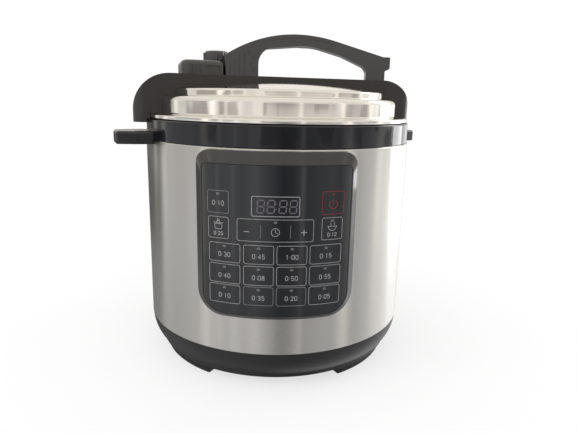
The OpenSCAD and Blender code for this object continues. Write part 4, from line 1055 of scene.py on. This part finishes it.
# The cup's skin runs up outside, over the lip and down inside.
cup_rings = []
for inset, z in ((1.2, 130), (0.4, 130.3), (0, 131.2), (0, 184.6), (0.3, 185), (1.3, 185), (1.6, 184.6),
                 (1.6, 133), (2.4, 131.9), (3.4, 131.6)):
    ring = soft_box(134.05 + inset, -17.45 + inset, 144.95 - inset, 17.45 - inset, max(2.4 - inset, 0.4), 5)
    cup_rings.append([on_cup(x, y, z) for x, y in ring])
cup = Shape().loft(cup_rings)
for low, high in ((-18.9, -17.2), (17.2, 18.9)):
    cup.slab(box(134.1, low, 143.9, high), 177.4, 178.9, on_cup)
piece("condensation_cup_moulding", cup, cup_smoke, "cup", ["condensation_cup"], sharp=45)


# ---- Power inlet ----

inlet = as_object("inlet_plate", Shape().slab(soft_box(-22, 44, 22, 78, 5, 6), 126, 136, front_view))
carve(inlet, Shape().rod(130.72, 30, 90, steps=240))
carve(inlet, Shape().slab(soft_box(-17.5, 48.2, 17.5, 73.8, 2, 4), 119, 130.9, front_view), "UNION")
soften(inlet, 0.8, 3, 40, lambda p: p.y > 135.5)
socket = [(-12.3, 52.8), (12.3, 52.8), (12.3, 65.2), (8.3, 69.2), (-8.3, 69.2), (-12.3, 65.2)]
carve(inlet, Shape().slab(rounded([(*corner, 1) for corner in socket], 3), 120.9, 137, front_view))
dress(inlet, base_black, "cooker", ["power_inlet"])
pins = Shape()
for x, z in ((-7, 59), (0, 63), (7, 59)):
    pins.slab(box(x - 1, z - 2, x + 1, z + 2), 118.3, 133, front_view)
piece("inlet_pin_blades", pins, zinc, "cooker", ["inlet_pins"], soft=0.35)


# ---- Inside ----

POT_R, POT_FLOOR, POT_BEND, POT_WALL = 112, 68.2, 14, 2
pot_profile = ([(AXIS, POT_FLOOR)] + arc((POT_R - POT_BEND, POT_FLOOR + POT_BEND), POT_BEND, -90, 0, 10)
               + [(POT_R, 225.6), (112.4, 226.5), (113, 227.05), (116.6, 227.05), (117, 227.5),
                  (117, 228.4), (116.6, 229), (115.8, 229.2), (111.5, 229.2), (110.6, 228.9),
                  (POT_R - POT_WALL, 228)]
               + arc((POT_R - POT_BEND, 83.2), POT_BEND - POT_WALL, 0, -90, 10) + [(AXIS, 71.2)])
piece("inner_pot_bowl", Shape().turned(pot_profile), pot_black, "pot", ["inner_pot"],
      sharp=50)

LEVELS, LEVEL_LOW, LEVEL_PITCH = 5, 100, 22
levels = Shape()
for k in range(LEVELS):
    z = LEVEL_LOW + LEVEL_PITCH * k
    for a in (-5, 5):
        levels.turned(box(109.85, z, 110.02, z + 0.6), steps=4, start=80 + a - 2, sweep=4)
piece("inner_pot_levels", levels, pot_white, "pot")

SEAL = [(106, 229.6), (106.5, 229.5), (114.2, 229.5), (114.7, 230), (114.7, 238.6), (114.2, 239.4),
        (113.2, 239.5), (111.9, 239.3), (111.7, 238.7), (111.7, 233), (111.2, 232.5), (108.4, 232.5),
        (108, 233), (108, 235.2), (107.6, 235.5), (106.4, 235.5), (106, 235.1)]
piece("sealing_ring_band", Shape().turned(SEAL), silicone, "lid_carrier", ["sealing_ring"],
      sharp=60)

def tint(finish, *nodes):
    """Gives CAD nodes that stay as they are a finish."""
    for node in nodes:
        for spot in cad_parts[node].material_slots:
            spot.material = finish


tint(polished_steel("rack_steel", 0.7, 0.14), "sealing_rack", "sensor_cap")
tint(polished_steel("shell_steel", 0.7, 0.2), "pressure_shell")
tint(plain_metal("cast_aluminium", rgb(0.62, 0.62, 0.61), 0.3, 900, 0.04), "heating_plate")
tint(plain_metal("dark_zinc", rgb(0.22, 0.2, 0.18), 0.4), "heating_element", "thermal_fuse")
tint(zinc, "ring_screws", "handle_screws", "board_screws", "bottom_screws", "lid_screws", "plate_posts",
     "sensor_guide", "steam_pipe", "pipe_nut", "valve_weight", "float_pin", "float_bush", "filter_cap")
tint(plain_metal("brass", rgb(0.62, 0.45, 0.18), 0.25), "sensor_spring", "touch_springs")
tint(coloured("board_green", rgb(0.012, 0.09, 0.04), rgb(0.02, 0.13, 0.06), 0.35, 500),
     "control_board", "power_board")
tint(coloured("part_blue", rgb(0.02, 0.04, 0.16), rgb(0.03, 0.06, 0.2), 0.4), "board_parts")
tint(coloured("ceramic", rgb(0.6, 0.58, 0.53), rgb(0.7, 0.68, 0.64), 0.6), "pressure_switch")
tint(coloured("wire_brown", rgb(0.12, 0.05, 0.02), rgb(0.16, 0.07, 0.03)), "mains_wires")
tint(coloured("wire_red", rgb(0.32, 0.02, 0.015), rgb(0.4, 0.035, 0.03)), "heater_wires")
tint(coloured("wire_grey", rgb(0.32, 0.32, 0.33), rgb(0.4), 0.5), "ribbon_cable")
tint(coloured("red_silicone", rgb(0.4, 0.04, 0.03), rgb(0.5, 0.07, 0.05), 0.4), "float_seal")
tint(face_black, "display_block")


# ---- Stage ----

def floor_finish(name):
    """A pale floor: the camera sees it nearly white, with the shadow, and polished metal hardly sees it."""
    f = Finish(name)
    _, _, r = f.around()
    matt = f.shader(f.mix(f.noise(3, 3), rgb(0.86), rgb(0.9)), f.noise(40, 2) * 0.1 + 0.6, {SHINE: 0.1})
    seen, mirrored = f.node("LightPath", out=("Is Camera Ray", "Is Glossy Ray"))
    glow = f.node("Emission", None, {"Color": WHITE})
    lit = f.node("MixShader", None, {0: seen * (r.between(0.15, 0.4) * 0.3 + 0.7), 1: matt, 2: glow})
    return f.end(f.node("MixShader", None, {0: mirrored * 0.85, 1: lit, 2: f.node("BsdfTransparent")}))


FLOOR_R, FLOOR_LOW, FLOOR_TOP = 520, -4, -0.02
ground = as_object("floor", Shape().rod(FLOOR_R, FLOOR_LOW, FLOOR_TOP, steps=96))
ground.data.materials.append(floor_finish("studio_floor"))
ground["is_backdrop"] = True


# ---- Room ----

# What polished metal sees round the product, as a grey at each angle about the axis from the front:
# pale walls with darker screens, upright lamps, and glints low at the left.
WALLS = [(-180, 0.22), (-160, 0.16), (-134, 0.22), (-120, 0.55), (-113, 0.75), (-104, 0.67), (-84, 0.69),
         (-76, 0.81), (-70, 0.74), (-62, 0.99), (-56, 0.92), (-50, 0.76), (-40, 0.83), (-34, 0.94),
         (-28, 0.74), (-15, 0.83), (-5, 0.56), (5, 0.22), (13, 0.31), (19, 0.54), (24, 0.43), (45, 0.65),
         (52, 0.49), (58, 0.95), (65, 1.01), (72, 0.58), (86, 0.81), (103, 1.2), (118, 1.68), (148, 1.68),
         (162, 0.67), (180, 0.22)]
LAMPS = [(-180, 0), (-66, 0), (-64, 0.6), (-60, 0.6), (-58, 0), (-50, 0), (-49, 0.45), (-47, 0.45),
         (-46, 0), (-36, 0), (-35, 0.35), (-33, 0), (-24, 0), (-22, 0.16), (-14, 0.16), (-13, 0), (19, 0),
         (20, 0.45), (22, 0.45), (23, 0), (59, 0), (61, 0.6), (64, 0.6), (65, 0), (91, 0), (93, 0.4),
         (98, 0.4), (100, 0)]
GLINTS = [(-180, 0), (-130, 0), (-128, 0.8), (-123, 0.8), (-121, 0.1), (-114, 0.1), (-112, 0.9),
          (-108, 0.9), (-106, 0)]

world = bpy.data.worlds.new("studio")
bpy.context.scene.world = world
world.use_nodes = True
sky = Surface(world.node_tree)
east, north, up = sky.split(sky.node("TexCoord", out="Generated"))
azimuth = east.of("ARCTAN2", north * -1) * (1 / math.tau) + 0.5


def all_round(stops):
    """A grey that follows stops of (angle, grey) about the axis."""
    stops = [(0.5 + angle / 360, rgb(grey)) for angle, grey in stops]
    return sky.node("ValToRGB", {"stops": stops}, {"Fac": azimuth})


tiles = sky.node("TexVoronoi", {"distance": "CHEBYCHEV"},
                 {"Vector": sky.vector(azimuth * 34, up * 5, 0.0), "Scale": 1.0, "Randomness": 0.8},
                 out="Color")
shelves = (tiles * up.near(0.07, 0.2)).between(0.45, 0.7)
shaded = (1 - azimuth.between(0.16, 0.2)) * (up + 0.2).near(0.08, 0.15)
room = all_round(WALLS)
for share, tone in (
        (up.between(-0.02, 0.05) * 0.7, rgb(0.88, 0.82, 0.73)),
        (up.between(0.0, 0.12) * north.between(0.4, 0.8), rgb(0.94, 0.9, 0.82)),
        (shelves * 0.65, rgb(0.25, 0.22, 0.2)),
        (all_round(LAMPS) * up.near(0.3, 0.65) * 0.8, rgb(1.8, 1.7, 1.5)),
        (all_round(GLINTS) * up.near(0.08, 0.16) * 0.8, rgb(1.3, 1.3, 1.15)),
        (shaded * 0.85, rgb(0.1, 0.1, 0.09)),
        ((1 - up.between(-0.5, -0.12)) * 0.15, rgb(0.14, 0.14, 0.15)),
        (up.between(0.25, 0.8), rgb(0.94, 0.91, 0.84))):
    room = sky.mix(share, room, tone)
seen, mirrored = sky.node("LightPath", out=("Is Camera Ray", "Is Glossy Ray"))
matt_sees = rgb(0.62)
shown = sky.mix(seen, sky.mix(mirrored, matt_sees, room), WHITE)
sky.node("OutputWorld", None, {0: sky.node("Background", None, {"Color": shown})}, out=())


# ---- Lights ----

def soft_light(name, place, aim, wide, high, watts, mirrored=False):
    """A rectangular soft light that faces a point; metal mirrors it only where asked."""
    light = bpy.data.lights.new(name, "AREA")
    light.shape = "RECTANGLE"
    light.size, light.size_y = wide, high
    light.energy = watts
    obj = bpy.data.objects.new(name, light)
    obj.location = place
    obj.rotation_euler = (Vector(aim) - Vector(place)).to_track_quat("-Z", "Y").to_euler()
    obj.visible_glossy = mirrored
    bpy.context.scene.collection.objects.link(obj)


soft_light("top_light", (-0.25, -0.35, 1.35), (0, 0, 0.2), 2.4, 2.0, 14.5)
soft_light("right_light", (1.0, 0.55, 0.45), (0, 0, 0.15), 0.4, 1.0, 4, True)
soft_light("left_light", (-1.2, -0.6, 0.7), (0, 0, 0.15), 0.5, 0.9, 4)


# ---- Camera ----

EYE = (0, -0.5226, 0.2496)
YAW, PITCH, ROLL = 1.43, 13.08, 1.29
LENS = 31.196

camera = bpy.data.objects.new("camera", bpy.data.cameras.new("camera"))
bpy.context.scene.collection.objects.link(camera)
camera.data.sensor_width = 36
camera.data.lens = LENS
camera.data.clip_start = 0.01
camera.matrix_world = Matrix.Translation(EYE)
for turn, axis in ((-YAW, "Z"), (90 - PITCH, "X"), (ROLL, "Z")):
    camera.matrix_world @= Matrix.Rotation(math.radians(turn), 4, axis)
bpy.context.scene.camera = camera
bpy.context.scene.view_settings.view_transform = "Standard"

low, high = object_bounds()
{"cad": [list(cad_low), list(cad_high)], "visual": [list(low), list(high)]}
